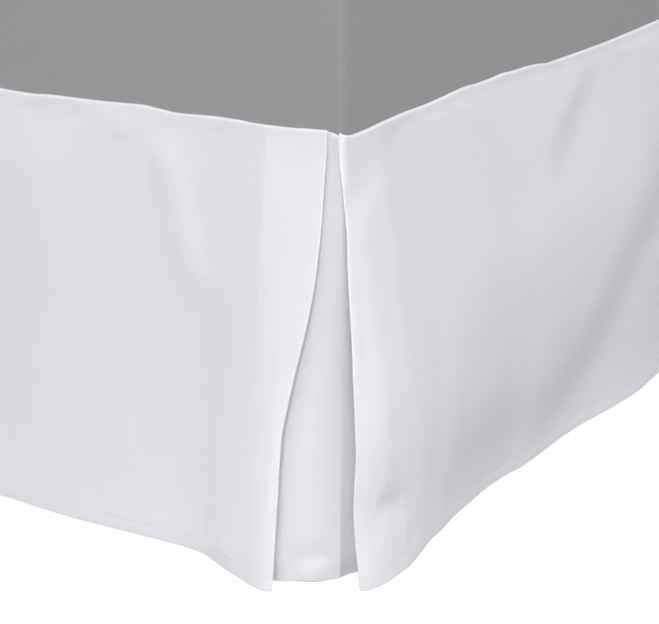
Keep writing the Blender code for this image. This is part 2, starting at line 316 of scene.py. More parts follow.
@dataclass(frozen=True)
class Swell:
    """A broad area that stands out from a drop, or in where its height is negative.

    Each border is a line through two places and the width over which the cloth
    falls away at it: (distance, height, distance, height, width). Drawn with the
    distance to the right and the height up, the area lies to the border's left.
    """

    borders: tuple[tuple[float, float, float, float, float], ...]
    height: float


FOOT_SHAPES = (
    Crease(((176, 372), (158, 302), (134, 222)), 3.2, 9.0, 13.0, 34.0),
    Crease(((300, 376), (308, 200), (318, -60)), 4.6, 50.0, 34.0, 60.0),
    Crease(((218, 384), (222, 352)), 1.0, 10.0, 9.0, 10.0),
    Crease(((262, 384), (268, 362)), -0.9, 12.0, 10.0, 8.0),
    Crease(((560, 380), (540, 200), (530, 20)), 4.0, 60.0, 40.0, 80.0),
    Crease(((820, 380), (800, 220), (790, 20)), -3.4, 50.0, 60.0, 80.0),
    Crease(((1120, 380), (1130, 200), (1150, 20)), 4.2, 50.0, 60.0, 80.0),
    Crease(((1340, 372), (1360, 300), (1380, 222)), 2.8, 14.0, 10.0, 40.0),
)
RIGHT_SHAPES = (
    Swell(((-4, 0, -4, -1, 58), (900, 0, 820, 300, 160)), 9.6),
    Swell(((110, 0, 110, -1, 250), (380, 30, 592, 253, 116)), 16.0),
    Crease(((470, 366), (405, 316), (340, 262)), -3.0, 17.0, 26.0, 50.0),
    Crease(((430, 372), (372, 338), (330, 322)), 1.6, 16.0, 12.0, 34.0),
    Crease(((520, 376), (502, 340), (494, 300)), -1.2, 12.0, 18.0, 26.0),
    Crease(((-14, 218), (-14, 66)), 6.8, 26.0, 36.0, 68.0),
    Crease(((-30, 50), (26, 54), (78, 46)), -3.4, 18.0, 24.0, 40.0),
    Crease(((2, 73), (24, 69), (52, 57)), -1.9, 6.0, 7.0, 16.0),
    Crease(((8, 49), (36, 43), (66, 35)), 1.9, 8.0, 8.0, 18.0),
    Crease(((60, 46), (70, 30), (80, 12)), -1.4, 6.0, 7.0, 14.0),
    Swell(((1010, 0, 950, -300, 180), (1330, 0, 1270, 300, 160)), 11.0),
    Swell(((1500, 0, 1420, -300, 180), (1860, 0, 1900, 300, 140)), 12.0),
    Crease(((1330, 360), (1290, 210), (1270, 40)), -3.0, 40.0, 30.0, 70.0),
)
LEFT_SHAPES = (
    Crease(((180, 366), (150, 280), (118, 170)), 2.6, 12.0, 26.0, 50.0),
    Swell(((60, 0, 60, -1, 150), (520, 0, 620, 300, 170)), 11.0),
    Crease(((700, 340), (640, 200), (560, 40)), -3.0, 30.0, 50.0, 70.0),
    Swell(((880, 300, 920, 0, 160), (1300, 0, 1340, 300, 190)), 12.0),
    Crease(((1520, 366), (1500, 240), (1440, 60)), 3.4, 40.0, 24.0, 70.0),
    Swell(((1620, 300, 1660, 0, 130), (1900, 0, 1900, 300, 110)), 9.0),
)
# The share of a swell's height at heights on the drop
SWELL_PROFILE = (
    (-20, 0), (12, 0.05), (30, 0.16), (105, 0.79), (150, 0.97), (182, 1), (218, 0.94),
    (290, 0.54), (372, 0.07), (384, 0),
)  # fmt: skip
# On an underlay: (distance from its crease, positive towards the side drop, height)
UNDERLAY_SHAPES = (
    Crease(((-46, 16), (-20, 27), (-2, 22)), -1.5, 5.0, 5.0, 14.0),
    Crease(((-40, 6), (-18, 12), (-4, 8)), 1.0, 6.0, 6.0, 12.0),
)

# The waviness of the cloth: how many waves there are, their shortest and longest
# length, their greatest turn from level in radians, and their height for each
# millimetre of length
WAVE_COUNT = 9
WAVE_LENGTHS = (70.0, 260.0)
WAVE_HEADING = 0.9
WAVE_SHARE = 0.0011


# ---------------------------------------------------------------- shape functions


def smoothstep(value: np.ndarray | float) -> np.ndarray:
    """A rise with level ends: t squared times (3 - 2t), with t held from 0 to 1."""
    t = np.clip(value, 0.0, 1.0)
    return t * t * (3 - 2 * t)


def curve_through(rows: tuple, at: np.ndarray) -> np.ndarray:
    """A smooth curve through (place, value) rows that never overshoots a row.

    It is a cubic between each two rows. Its slope at a row is the harmonic mean of
    the straight slopes before and after it, and 0 at a high or low point.

    Args:
        rows: The (place, value) pairs, in order of place.
        at: The places to read the curve at.

    Returns:
        The curve's values, in the shape of the places.
    """
    place, value = np.array(rows, float).T
    width = np.diff(place)
    slope = np.diff(value) / width
    before, after = slope[:-1], slope[1:]
    one_way = before * after > 0
    total = np.where(one_way, before + after, 1.0)
    tangent = np.zeros_like(value)
    tangent[1:-1] = np.where(one_way, 2 * before * after / total, 0.0)
    at = np.clip(at, place[0], place[-1])
    i = np.clip(np.searchsorted(place, at) - 1, 0, len(width) - 1)
    t = (at - place[i]) / width[i]
    rise = (3 - 2 * t) * t * t
    return (
        value[i] * (1 - rise)
        + value[i + 1] * rise
        + width[i] * t * (1 - t) * ((1 - t) * tangent[i] - t * tangent[i + 1])
    )


def unit(vectors: np.ndarray) -> np.ndarray:
    """The vectors along the last axis, scaled to length 1."""
    return vectors / np.maximum(np.linalg.norm(vectors, axis=-1, keepdims=True), 1e-12)


def quarter_turn(run: np.ndarray) -> np.ndarray:
    """Directions from above turned a quarter to the right."""
    return np.stack([run[..., 1], -run[..., 0]], -1)


def distances(path: np.ndarray) -> np.ndarray:
    """The distance along a path of points to each of them."""
    steps = np.linalg.norm(np.diff(path, axis=0), axis=1)
    return np.concatenate([[0.0], np.cumsum(steps)])


def directions(points: np.ndarray, axis: int) -> np.ndarray:
    """Unit directions of a grid's lines at each point.

    The direction at a point is halfway between those of the two steps that meet
    there, however long each step is.

    Args:
        points: The grid's points, with the coordinates on the last axis.
        axis: The axis that the lines run along.

    Returns:
        The directions, in the shape of the points.
    """
    lines = np.moveaxis(points, axis, 0)
    steps = unit(np.diff(lines, axis=0))
    both = np.concatenate([steps[:1], unit(steps[:-1] + steps[1:]), steps[-1:]])
    return np.moveaxis(both, 0, axis)


def opening(height: np.ndarray) -> np.ndarray:
    """How far open the cloth hangs: 0 in the closed band, 1 at the hem."""
    depth = CLOTH.closed_band - CLOTH.hem_height
    return np.clip((CLOTH.closed_band - height) / depth, 0.0, 1.0)


def near_top(height: np.ndarray) -> np.ndarray:
    """The share of the top edge's rise that a height takes: 1 at the top, then less."""
    return np.clip(1 - (CLOTH.top - height) / CLOTH.rise_depth, 0.0, 1.0)


def seam_rise(x: np.ndarray, y: np.ndarray) -> np.ndarray:
    """How far the bed's layers rise or sink with the skirt's uneven top edge.

    It is the nearest side's rise, a blend of two sides near a corner, and it fades
    to nothing a few millimetres in from the outline. The head end is level.

    Args:
        x: X of places near the level of the skirt's top.
        y: Y of the places.

    Returns:
        The rise at each place.
    """
    to_head = y - BED.foot_y
    from_side = BED.half_width - np.abs(x)
    side = curve_through(SIDE_TOP, to_head)
    foot = curve_through(FOOT_TOP, BED.half_width - x)
    by_side = smoothstep((to_head - from_side) / CLOTH.seam_blend + 0.5)
    nearest = np.minimum(to_head, from_side)
    head = smoothstep((BED.length - to_head) / CLOTH.seam_head)
    fade = 1 - smoothstep((nearest - CLOTH.seam_level) / CLOTH.seam_fade)
    return (foot + (side - foot) * by_side) * fade * head


def layer_step(height: np.ndarray) -> np.ndarray:
    """From a face to the layer folded back behind it.

    It is small where the layers are sewn together at the top, wider where they
    hang, and wider again where both have a turned hem.

    Args:
        height: Heights on the cloth.

    Returns:
        The steps at those heights.
    """
    hanging = smoothstep((CLOTH.top - height) / CLOTH.sewn_depth)
    hemmed = smoothstep((CLOTH.hemmed_below - height) / CLOTH.hemmed_change)
    step = CLOTH.sewn_step + (CLOTH.hanging_step - CLOTH.sewn_step) * hanging
    return step + (CLOTH.hemmed_step - CLOTH.hanging_step) * hemmed


def crease_push(crease: Crease, along: np.ndarray, height: np.ndarray) -> np.ndarray:
    """How far a crease pushes the cloth out.

    The push is a bell curve of the distance from the crease's line, with a width
    for each side of it, times a rise and fall along the line.

    Args:
        crease: The crease.
        along: Distances along the drop.
        height: Heights on the drop, in the same shape.

    Returns:
        The push at each place.
    """
    line = np.array(crease.points, float)
    lengths = np.linalg.norm(np.diff(line, axis=0), axis=1)
    starts = np.concatenate([[0.0], np.cumsum(lengths)[:-1]])
    nearest = np.full(along.shape, np.inf)
    signed = np.zeros(along.shape)
    travelled = np.zeros(along.shape)
    for start, end, length, begun in zip(line[:-1], line[1:], lengths, starts):
        run = (end - start) / length
        across = np.stack([along - start[0], height - start[1]])
        t = np.clip(run[0] * across[0] + run[1] * across[1], 0.0, length)
        distance = np.hypot(across[0] - t * run[0], across[1] - t * run[1])
        closer = distance < nearest
        nearest = np.where(closer, distance, nearest)
        turn = run[0] * across[1] - run[1] * across[0]
        signed = np.where(closer, np.sign(turn), signed)
        travelled = np.where(closer, begun + t, travelled)
    width = np.where(signed > 0, crease.far, crease.near)
    ends = smoothstep(travelled / crease.taper) * smoothstep(
        (lengths.sum() - travelled) / crease.taper
    )
    return crease.height * ends * np.exp(-0.5 * (nearest / width) ** 2)


def swell_push(swell: Swell, along: np.ndarray, height: np.ndarray) -> np.ndarray:
    """How far a swell pushes the cloth out.

    The push is the swell's height times a soft step at each of its borders, times
    its profile: a steady rise down from the top edge, a round crest and a steady
    fall to the hem.

    Args:
        swell: The swell.
        along: Distances along the drop.
        height: Heights on the drop, in the same shape.

    Returns:
        The push at each place.
    """
    push = swell.height * curve_through(SWELL_PROFILE, height)
    for x0, z0, x1, z1, width in swell.borders:
        inside = (x1 - x0) * (height - z0) - (z1 - z0) * (along - x0)
        inside = inside / math.hypot(x1 - x0, z1 - z0)
        push = push * smoothstep(inside / width + 0.5)
    return push


def pushed_by(shapes: tuple, along: np.ndarray, height: np.ndarray) -> np.ndarray:
    """The sum of what creases and swells push the cloth out by.

    Args:
        shapes: The creases and swells.
        along: Distances along the drop.
        height: Heights on the drop, in the same shape.

    Returns:
        The push at each place.
    """
    total = np.zeros(along.shape)
    for shape in shapes:
        push = swell_push if isinstance(shape, Swell) else crease_push
        total = total + push(shape, along, height)
    return total


def unevenness(along: np.ndarray, height: np.ndarray, seed: int) -> np.ndarray:
    """The slight waviness of cloth that has been folded away.

    It is a sum of sine waves that run in different directions, each with a length
    between the two wave lengths and a height in step with its length.

    Args:
        along: Distances along the drop.
        height: Heights on the drop, in the same shape.
        seed: Picks the waves.

    Returns:
        The push out at each place, mostly under 0.6 mm.
    """
    random = np.random.default_rng(seed)
    length = random.uniform(*WAVE_LENGTHS, WAVE_COUNT)
    heading = random.uniform(-WAVE_HEADING, WAVE_HEADING, WAVE_COUNT)
    phase = random.uniform(0, 2 * math.pi, WAVE_COUNT)
    total = np.zeros(np.broadcast(along, height).shape)
    for wave, turn, start in zip(length, heading, phase):
        place = along * math.cos(turn) + height * math.sin(turn)
        total = total + WAVE_SHARE * wave * np.sin(2 * math.pi * place / wave + start)
    return total


# ---------------------------------------------------------------- mesh helpers


def linked(name: str, data: bpy.types.ID) -> bpy.types.Object:
    """Puts a mesh, a light or a camera into the scene as an object at the origin.

    Args:
        name: The object's name.
        data: What the object holds.

    Returns:
        The object.
    """
    made = bpy.data.objects.new(name, data)
    bpy.context.scene.collection.objects.link(made)
    return made


def dressed(mesh: bpy.types.Mesh, finish: bpy.types.Material) -> bpy.types.Object:
    """Puts a mesh into the scene under its own name, in its finish."""
    mesh.materials.append(finish)
    return linked(mesh.name, mesh)


def mesh_from(
    name: str, points: np.ndarray, faces: np.ndarray, flat: np.ndarray | None = None
) -> bpy.types.Mesh:
    """A smooth mesh from whole arrays.

    Args:
        name: The mesh's name.
        points: The vertices in millimetres, one row each.
        faces: The faces, all with as many corners, as rows of vertex numbers.
        flat: Where each vertex lies on the flat cloth, in metres, for the UV map.

    Returns:
        The mesh, with an edge sharp where its faces turn by more than the sharp turn.
    """
    corners = faces.shape[1]
    mesh = bpy.data.meshes.new(name)
    mesh.vertices.add(len(points))
    mesh.vertices.foreach_set("co", (points * MM).astype(np.float32).ravel())
    mesh.loops.add(faces.size)
    mesh.loops.foreach_set("vertex_index", faces.astype(np.int32).ravel())
    mesh.polygons.add(len(faces))
    mesh.polygons.foreach_set(
        "loop_start", np.arange(0, faces.size, corners, dtype=np.int32)
    )
    mesh.update(calc_edges=True)
    if flat is not None:
        layer = mesh.uv_layers.new(name=CLOTH_MAP)
        layer.uv.foreach_set("vector", flat[faces.ravel()].astype(np.float32).ravel())
    mesh.shade_smooth()
    mesh.set_sharp_from_angle(angle=math.radians(SHARP_TURN))
    return mesh


def grid_faces(rows: int, columns: int, first: int = 0) -> np.ndarray:
    """Faces of a grid of vertices, as rows of four vertex numbers.

    Args:
        rows: How many rows of vertices the grid has.
        columns: How many vertices are in a row.
        first: The number of the grid's first vertex.

    Returns:
        The faces, turned so that columns cross rows points to their front.
    """
    corner = first + np.arange(rows - 1)[:, None] * columns + np.arange(columns - 1)
    corner = corner.ravel()
    return np.stack([corner, corner + 1, corner + columns + 1, corner + columns], 1)


def cloth_shell(name: str, points: np.ndarray, flat: np.ndarray) -> bpy.types.Mesh:
    """A closed sheet of cloth round a grid of points.

    The outer surface is the grid moved out by half the cloth's thickness along its
    normals, the inner one is the grid moved in by as much, and a rim joins them.

    Args:
        name: The mesh's name.
        points: The middle of the cloth, rows by columns, in millimetres.
        flat: The same grid's places on the flat cloth, in metres.

    Returns:
        The mesh.
    """
    rows, columns = points.shape[:2]
    normals = unit(np.cross(directions(points, 1), directions(points, 0)))
    half = normals * CLOTH.thickness / 2
    shell = np.concatenate([(points + half).reshape(-1, 3), (points - half).reshape(-1, 3)])
    under = rows * columns
    front = grid_faces(rows, columns)
    back = grid_faces(rows, columns, under)[:, ::-1]
    number = np.arange(under).reshape(rows, columns)
    rim = np.concatenate(
        [number[0, ::-1], number[1:, 0], number[-1, 1:], number[-2:0:-1, -1]]
    )
    after = np.roll(rim, -1)
    edge = np.stack([rim, after, after + under, rim + under], 1)
    faces = np.concatenate([front, back, edge[:, ::-1]])
    return mesh_from(name, shell, faces, np.tile(flat.reshape(-1, 2), (2, 1)))


def flat_places(points: np.ndarray) -> np.ndarray:
    """Where a grid's points lie on the cloth laid flat.

    The first number is the distance along the middle row, and the second is the
    distance down the middle column, so that threads follow the folds.

    Args:
        points: Rows by columns of points, in millimetres.

    Returns:
        Rows by columns of pairs, in metres.
    """
    rows, columns = points.shape[:2]
    across = distances(points[rows // 2])
    down = distances(points[:, columns // 2])
    return np.stack(np.broadcast_arrays(across[None, :], -down[:, None]), -1) * MM


def capped_rings(name: str, rings: np.ndarray, ends: np.ndarray) -> bpy.types.Mesh:
    """A smooth closed surface of rings that is gathered in a point at each end.

    A four-sided face joins two neighbours on a ring to those on the next one, and
    triangles join the first and the last ring to the end points.

    Args:
        name: The mesh's name.
        rings: Rings of points from below up, in millimetres.
        ends: The point under the first ring and the point over the last one.

    Returns:
        The mesh.
    """
    count, columns = rings.shape[:2]
    low = count * columns
    number = np.arange(low).reshape(count, columns)
    beside = np.roll(number, -1, axis=1)
    walls = np.stack([number[:-1], beside[:-1], beside[1:], number[1:]], -1).reshape(-1, 4)
    lower = np.stack([beside[0], number[0], np.full(columns, low)], -1)
    upper = np.stack([number[-1], beside[-1], np.full(columns, low + 1)], -1)
    points = np.concatenate([rings.reshape(-1, 3), ends]) * MM
    mesh = bpy.data.meshes.new(name)
    mesh.from_pydata(points.tolist(), [], walls.tolist() + lower.tolist() + upper.tolist())
    mesh.shade_smooth()
    return mesh


# ---------------------------------------------------------------- finishes


class Nodes:
    """A short way to add and join a material's nodes."""

    def __init__(self, name: str) -> None:
        """Starts an empty material.

        Args:
            name: The material's name.
        """
        self.material = bpy.data.materials.new(name)
        self.material.use_nodes = True
        self.tree = self.material.node_tree
        self.tree.nodes.clear()

    def add(self, kind: str, values: dict | None = None, **settings: str) -> bpy.types.Node:
        """Adds a node.

        Args:
            kind: The node's type, without its ShaderNode prefix.
            values: Values or output sockets for its inputs, by name or number.
            settings: Values for the node's own properties.

        Returns:
            The node.
        """
        node = self.tree.nodes.new("ShaderNode" + kind)
        for name, value in settings.items():
            setattr(node, name, value)
        for key, value in (values or {}).items():
            socket = node.inputs[key]
            if isinstance(value, bpy.types.NodeSocket):
                self.tree.links.new(value, socket)
            else:
                socket.default_value = value
        return node

    def math(
        self,
        operation: str,
        first: bpy.types.NodeSocket | float,
        second: bpy.types.NodeSocket | float = 0.0,
    ) -> bpy.types.NodeSocket:
        """The output socket of a Math node on two numbers or output sockets."""
        node = self.add("Math", {0: first, 1: second}, operation=operation)
        return node.outputs[0]

    def range(
        self, value: bpy.types.NodeSocket, low: float, high: float
    ) -> bpy.types.NodeSocket:
        """Maps a value from 0 to 1 to a range."""
        return self.math("ADD", self.math("MULTIPLY", value, high - low), low)

    def ripple(
        self, value: bpy.types.NodeSocket, turn: float, folded: bool = False
    ) -> bpy.types.NodeSocket:
        """The sine of a value times a turn in radians, with its lower half folded up or not."""
        wave = self.math("SINE", self.math("MULTIPLY", value, turn))
        return self.math("ABSOLUTE", wave) if folded else wave

    def grey(
        self, value: bpy.types.NodeSocket, colour: tuple[float, float, float]
    ) -> bpy.types.NodeSocket:
        """A colour times a value. A colour Mix has its colours in inputs 6 and 7.

        Args:
            value: A number socket, near 1.
            colour: The colour where the value is 1.

        Returns:
            The colour socket.
        """
        joined = self.add("CombineColor", {0: value, 1: value, 2: value})
        inputs = {0: 1.0, 6: joined.outputs[0], 7: (*colour, 1.0)}
        node = self.add("Mix", inputs, data_type="RGBA", blend_type="MULTIPLY")
        return node.outputs[2]

    def finished(self, surface: bpy.types.Node) -> bpy.types.Material:
        """Joins a surface to the material's output."""
        self.add("OutputMaterial", {0: surface.outputs[0]})
        return self.material


@dataclass(frozen=True)
class SkirtClothFinish:
    """White plain-weave cotton: fine threads, faint slubs and a little light let through.

    The pitch and the relief are in metres, and the lumps are the slubs' number per
    metre along the cloth and down it, first on the warp and then on the weft. The
    shades are how far each pattern makes the colour lighter or darker, with the
    clouds' as a range, and the shares are how much of the relief is weave and slub.
    """

    colour: tuple[float, float, float] = (0.885, 0.875, 0.9)
    through: tuple[float, float, float] = (0.95, 0.945, 0.96)
    light_through: float = 0.46
    thread_pitch: float = 0.00042
    warp_lumps: tuple[float, float, float] = (900.0, 26.0, 1.0)
    weft_lumps: tuple[float, float, float] = (22.0, 760.0, 1.0)
    cloud_scale: float = 9.0
    slub_shade: float = 0.035
    weave_shade: float = 0.02
    cloud_shades: tuple[float, float] = (0.985, 1.015)
    weave_share: float = 0.35
    slub_share: float = 0.65
    relief: float = 0.00022
    roughness: float = 0.82
    uneven_roughness: float = 0.06

    def make(self) -> bpy.types.Material:
        """Builds the material.

        A thread is a folded sine wave across its run, and a chequer says which of
        the two threads lies on top. Threads and slubs give tone, roughness and bump.

        Returns:
            A material whose threads follow the cloth map.
        """
        nodes = Nodes("skirt_cloth_finish")
        place = nodes.add("UVMap", uv_map=CLOTH_MAP).outputs[0]
        split = nodes.add("SeparateXYZ", {0: place})
        half_turn = math.pi / self.thread_pitch
        warp = nodes.ripple(split.outputs[0], half_turn, folded=True)
        weft = nodes.ripple(split.outputs[1], half_turn, folded=True)
        over = nodes.add("TexChecker", {0: place, 3: 1 / self.thread_pitch}).outputs[1]
        on_top = nodes.math("MULTIPLY", warp, over)
        below = nodes.math("MULTIPLY", weft, nodes.math("SUBTRACT", 1.0, over))
        weave = nodes.math("ADD", on_top, below)
        both = [self._slub(nodes, place, each) for each in (self.warp_lumps, self.weft_lumps)]
        slub = nodes.math("MULTIPLY", nodes.math("ADD", *both), 0.5)
        soft = {0: place, "Scale": self.cloud_scale, "Detail": 3.0, "Roughness": 0.5}
        cloud = nodes.add("TexNoise", soft).outputs[0]
        slub_tone = nodes.range(slub, -self.slub_shade, self.slub_shade)
        weave_tone = nodes.range(weave, -self.weave_shade, self.weave_shade)
        tone = nodes.math("ADD", slub_tone, weave_tone)
        tone = nodes.math("ADD", tone, nodes.range(cloud, *self.cloud_shades))
        woven = nodes.math("MULTIPLY", weave, self.weave_share)
        height = nodes.math("ADD", woven, nodes.math("MULTIPLY", slub, self.slub_share))
        bump = nodes.add("Bump", {"Strength": 0.5, "Distance": self.relief, "Height": height})
        smoothest = self.roughness - self.uneven_roughness
        roughest = self.roughness + self.uneven_roughness
        front = nodes.add(
            "BsdfPrincipled",
            {
                "Base Color": nodes.grey(tone, self.colour),
                "Roughness": nodes.range(slub, smoothest, roughest),
                "Sheen Weight": 0.12,
                "Sheen Roughness": 0.6,
                "Specular IOR Level": 0.3,
                "Normal": bump.outputs[0],
            },
        )
        colour = nodes.grey(tone, self.through)
        behind = nodes.add("BsdfTranslucent", {"Color": colour, "Normal": bump.outputs[0]})
        layers = {0: self.light_through, 1: front.outputs[0], 2: behind.outputs[0]}
        return nodes.finished(nodes.add("MixShader", layers))

    def _slub(
        self, nodes: Nodes, place: bpy.types.NodeSocket, lumps: tuple[float, float, float]
    ) -> bpy.types.NodeSocket:
        """Noise stretched along one set of threads.

        Args:
            nodes: The material's nodes.
            place: The place on the flat cloth.
            lumps: How many lumps there are per metre each way.

        Returns:
            The noise's value socket.
        """
        mapped = nodes.add("Mapping", {0: place, "Scale": lumps}).outputs[0]
        values = {0: mapped, "Scale": 1.0, "Detail": 2.0, "Roughness": 0.55}
        return nodes.add("TexNoise", values).outputs[0]


@dataclass(frozen=True)
class KnitFinish:
    """Plain knitted ticking, with fine ribs and a mottled yarn.

    The pitch and the relief are in metres. The shades are how far each pattern makes
    the colour lighter or darker, with the clouds' as a range.
    """

    name: str
    colour: tuple[float, float, float]
    rib_pitch: float = 0.0016
    courses_to_rib: float = 1.3
    mottle_scale: float = 420.0
    cloud_scale: float = 5.0
    yarn_shade: float = 0.07
    knit_shade: float = 0.02
    cloud_shades: tuple[float, float] = (0.98, 1.02)
    relief: float = 0.0004
    relief_strength: float = 0.35
    roughness: float = 0.9
    uneven_roughness: float = 0.05

    def make(self) -> bpy.types.Material:
        """Builds the material.

        The knit is a sine wave across the ribs times one up them. Knit and yarn give
        the tone and the bump.

        Returns:
            A material whose ribs stand upright on the sides of the piece.
        """
        nodes = Nodes(self.name)
        place = nodes.add("TexCoord").outputs["Object"]
        split = nodes.add("SeparateXYZ", {0: place})
        across = nodes.math("ADD", split.outputs[0], split.outputs[1])
        turn = 2 * math.pi / self.rib_pitch
        rib = nodes.ripple(across, turn)
        course = nodes.ripple(split.outputs[2], turn * self.courses_to_rib)
        knit = nodes.range(nodes.math("MULTIPLY", rib, course), 0.5, 1.0)
        mottle = {0: place, "Scale": self.mottle_scale, "Detail": 3.0, "Roughness": 0.6}
        yarn = nodes.add("TexNoise", mottle).outputs[0]
        soft = {0: place, "Scale": self.cloud_scale, "Detail": 2.0, "Roughness": 0.5}
        cloud = nodes.add("TexNoise", soft).outputs[0]
        yarn_tone = nodes.range(yarn, -self.yarn_shade, self.yarn_shade)
        knit_tone = nodes.range(knit, -self.knit_shade, self.knit_shade)
        tone = nodes.math("ADD", yarn_tone, knit_tone)
        tone = nodes.math("ADD", tone, nodes.range(cloud, *self.cloud_shades))
        height = nodes.math("ADD", nodes.math("MULTIPLY", knit, 0.5), yarn)
        depth = {"Strength": self.relief_strength, "Distance": self.relief}
        bump = nodes.add("Bump", {**depth, "Height": height})
        smoothest = self.roughness - self.uneven_roughness
        roughest = self.roughness + self.uneven_roughness
        surface = nodes.add(
            "BsdfPrincipled",
            {
                "Base Color": nodes.grey(tone, self.colour),
                "Roughness": nodes.range(yarn, smoothest, roughest),
                "Sheen Weight": 0.1,
                "Sheen Roughness": 0.6,
                "Specular IOR Level": 0.25,
                "Normal": bump.outputs[0],
            },
        )
        return nodes.finished(surface)


@dataclass(frozen=True)
class LegWoodFinish:
    """Dark stained wood with its grain along the leg.

    Streaks and pores are numbers per metre each way, and the relief is in metres.
    The pore's shade is how far pores shift the mix of the two colours.
    """

    light: tuple[float, float, float] = (0.13, 0.09, 0.065)
    dark: tuple[float, float, float] = (0.055, 0.036, 0.026)
    streaks: tuple[float, float, float] = (95.0, 95.0, 6.0)
    pores: tuple[float, float, float] = (900.0, 900.0, 40.0)
    pore_shade: float = 0.15
    relief: float = 0.0003
    relief_strength: float = 0.25
    smoothest: float = 0.35
    roughest: float = 0.6

    def make(self) -> bpy.types.Material:
        """Builds the material.

        Stretched noise mixes the dark and the light colour and gives the bump.

        Returns:
            A material with upright grain on Object coordinates.
        """
        nodes = Nodes("leg_wood_finish")
        place = nodes.add("TexCoord").outputs["Object"]
        long = nodes.add("Mapping", {0: place, "Scale": self.streaks}).outputs[0]
        streak = {0: long, "Scale": 1.0, "Detail": 6.0, "Distortion": 0.6}
        grain = nodes.add("TexNoise", streak).outputs[0]
        fine = nodes.add("Mapping", {0: place, "Scale": self.pores}).outputs[0]
        pore = nodes.add("TexNoise", {0: fine, "Scale": 1.0, "Detail": 2.0}).outputs[0]
        pore_tone = nodes.range(pore, -self.pore_shade, self.pore_shade)
        shade = nodes.math("ADD", grain, pore_tone)
        colours = {0: shade, 6: (*self.dark, 1.0), 7: (*self.light, 1.0)}
        depth = {"Strength": self.relief_strength, "Distance": self.relief}
        bump = nodes.add("Bump", {**depth, "Height": shade})
        surface = nodes.add(
            "BsdfPrincipled",
            {
                "Base Color": nodes.add("Mix", colours, data_type="RGBA").outputs[2],
                "Roughness": nodes.range(grain, self.smoothest, self.roughest),
                "Coat Weight": 0.2,
                "Coat Roughness": 0.25,
                "Normal": bump.outputs[0],
            },
        )
        return nodes.finished(surface)


@dataclass(frozen=True)
class Finishes:
    """The finished materials that the pieces wear."""

    skirt: bpy.types.Material
    mattress: bpy.types.Material
    box_spring: bpy.types.Material
    wood: bpy.types.Material


# ---------------------------------------------------------------- the skirt's drops


@dataclass(frozen=True)
class Row:
    """One row of a drop's grid, in millimetres.

    A row of the top roll has a turn round the roll in degrees and a run behind it,
    and a row of the turned hem has an inset from the cloth's face.
    """

    height: float
    inset: float = 0.0
    turn: float = 0.0
    run: float = 0.0


def drop_rows() -> list[Row]:
    """The rows of a drop, from the deck's edge over the roll and down to the hem.

    The rows lie closer together where the cloth bends: over the roll, down to the
    closed band, and round the two half circles of the hem's folds.

    Returns:
        The rows, in the order that the cloth runs.
    """
    roll_centre = CLOTH.top - CLOTH.roll + CLOTH.roll_lift
    under_roll = (roll_centre, 381.5, 379.0, 376.0, 373.0)
    closed = np.arange(371.0, 346.0, -2.0)
    hanging = np.arange(342.5, 24.0, -4.5)
    hem_face = (23.0, 20.0, 17.5, 16.0, 14.8, 14.0, 13.2, 12.0, 9.5, 7.0, 5.2)
    hem_back = (6.5, 9.5, 12.5, 14.0)
    tucked_in = (12.0, 8.5, 5.5)
    behind_roll = (CLOTH.roll_run, 1.4, 0.6)
    over_roll = (90.0, 72.0, 54.0, 36.0, 18.0)
    lower_fold = np.radians((0.0, 36.0, 72.0, 108.0, 144.0, 180.0))
    upper_fold = np.radians((0.0, 45.0, 90.0, 135.0, 180.0))
    rows = [Row(roll_centre, turn=over_roll[0], run=run) for run in behind_roll]
    rows += [Row(roll_centre, turn=turn) for turn in over_roll]
    rows += [Row(float(height)) for height in (*under_roll, *closed, *hanging, *hem_face)]
    lowest = CLOTH.hem_height + CLOTH.thickness / 2
    for turn in lower_fold:
        height = lowest + CLOTH.layer * (1 - math.sin(turn))
        rows.append(Row(height, inset=CLOTH.layer * (1 - math.cos(turn))))
    rows += [Row(height, inset=2 * CLOTH.layer) for height in hem_back]
    fold_height = CLOTH.hem_top - CLOTH.layer / 2
    for turn in upper_fold:
        inset = CLOTH.layer * (1.5 + 0.5 * math.cos(turn))
        rows.append(Row(fold_height + CLOTH.layer / 2 * math.sin(turn), inset=inset))
    rows += [Row(height, inset=CLOTH.layer) for height in tucked_in]
    return rows


@dataclass(frozen=True)
class RowArrays:
    """The rows of a drop as arrays: heights, and the rest as columns for grids."""

    heights: np.ndarray
    inset: np.ndarray
    turn: np.ndarray
    run: np.ndarray

    @classmethod
    def of_drop(cls) -> RowArrays:
        """The arrays of a drop's rows.

        Returns:
            The arrays, in the order that the cloth runs.
        """
        table = np.array([(row.height, row.inset, row.turn, row.run) for row in drop_rows()])
        heights, inset, turn, run = table.T
        return cls(heights, inset[:, None], turn[:, None], run[:, None])

    def rolled(self, radius: np.ndarray | float) -> tuple[np.ndarray, np.ndarray]:
        """How the rows of the top roll lie about the circle that they turn on.

        A row goes in by the radius times (1 - cosine of its turn) and by its run, and
        up by the radius times the sine. Other rows stay where they are.

        Args:
            radius: The circle's radius, one number or a grid of them.

        Returns:
            The distances in and up.
        """
        turned = np.radians(self.turn)
        inward = np.where(self.turn > 0, radius * (1 - np.cos(turned)) + self.run, 0.0)
        upward = np.where(self.turn > 0, radius * np.sin(turned), 0.0)
        return inward, upward


@dataclass(frozen=True)
class Ribbon:
    """A drop, or one end of it, from above: its places at each height.

    Each place has the direction to the bed and its depth behind the face.
    """

    points: np.ndarray
    bedward: np.ndarray
    behind: np.ndarray


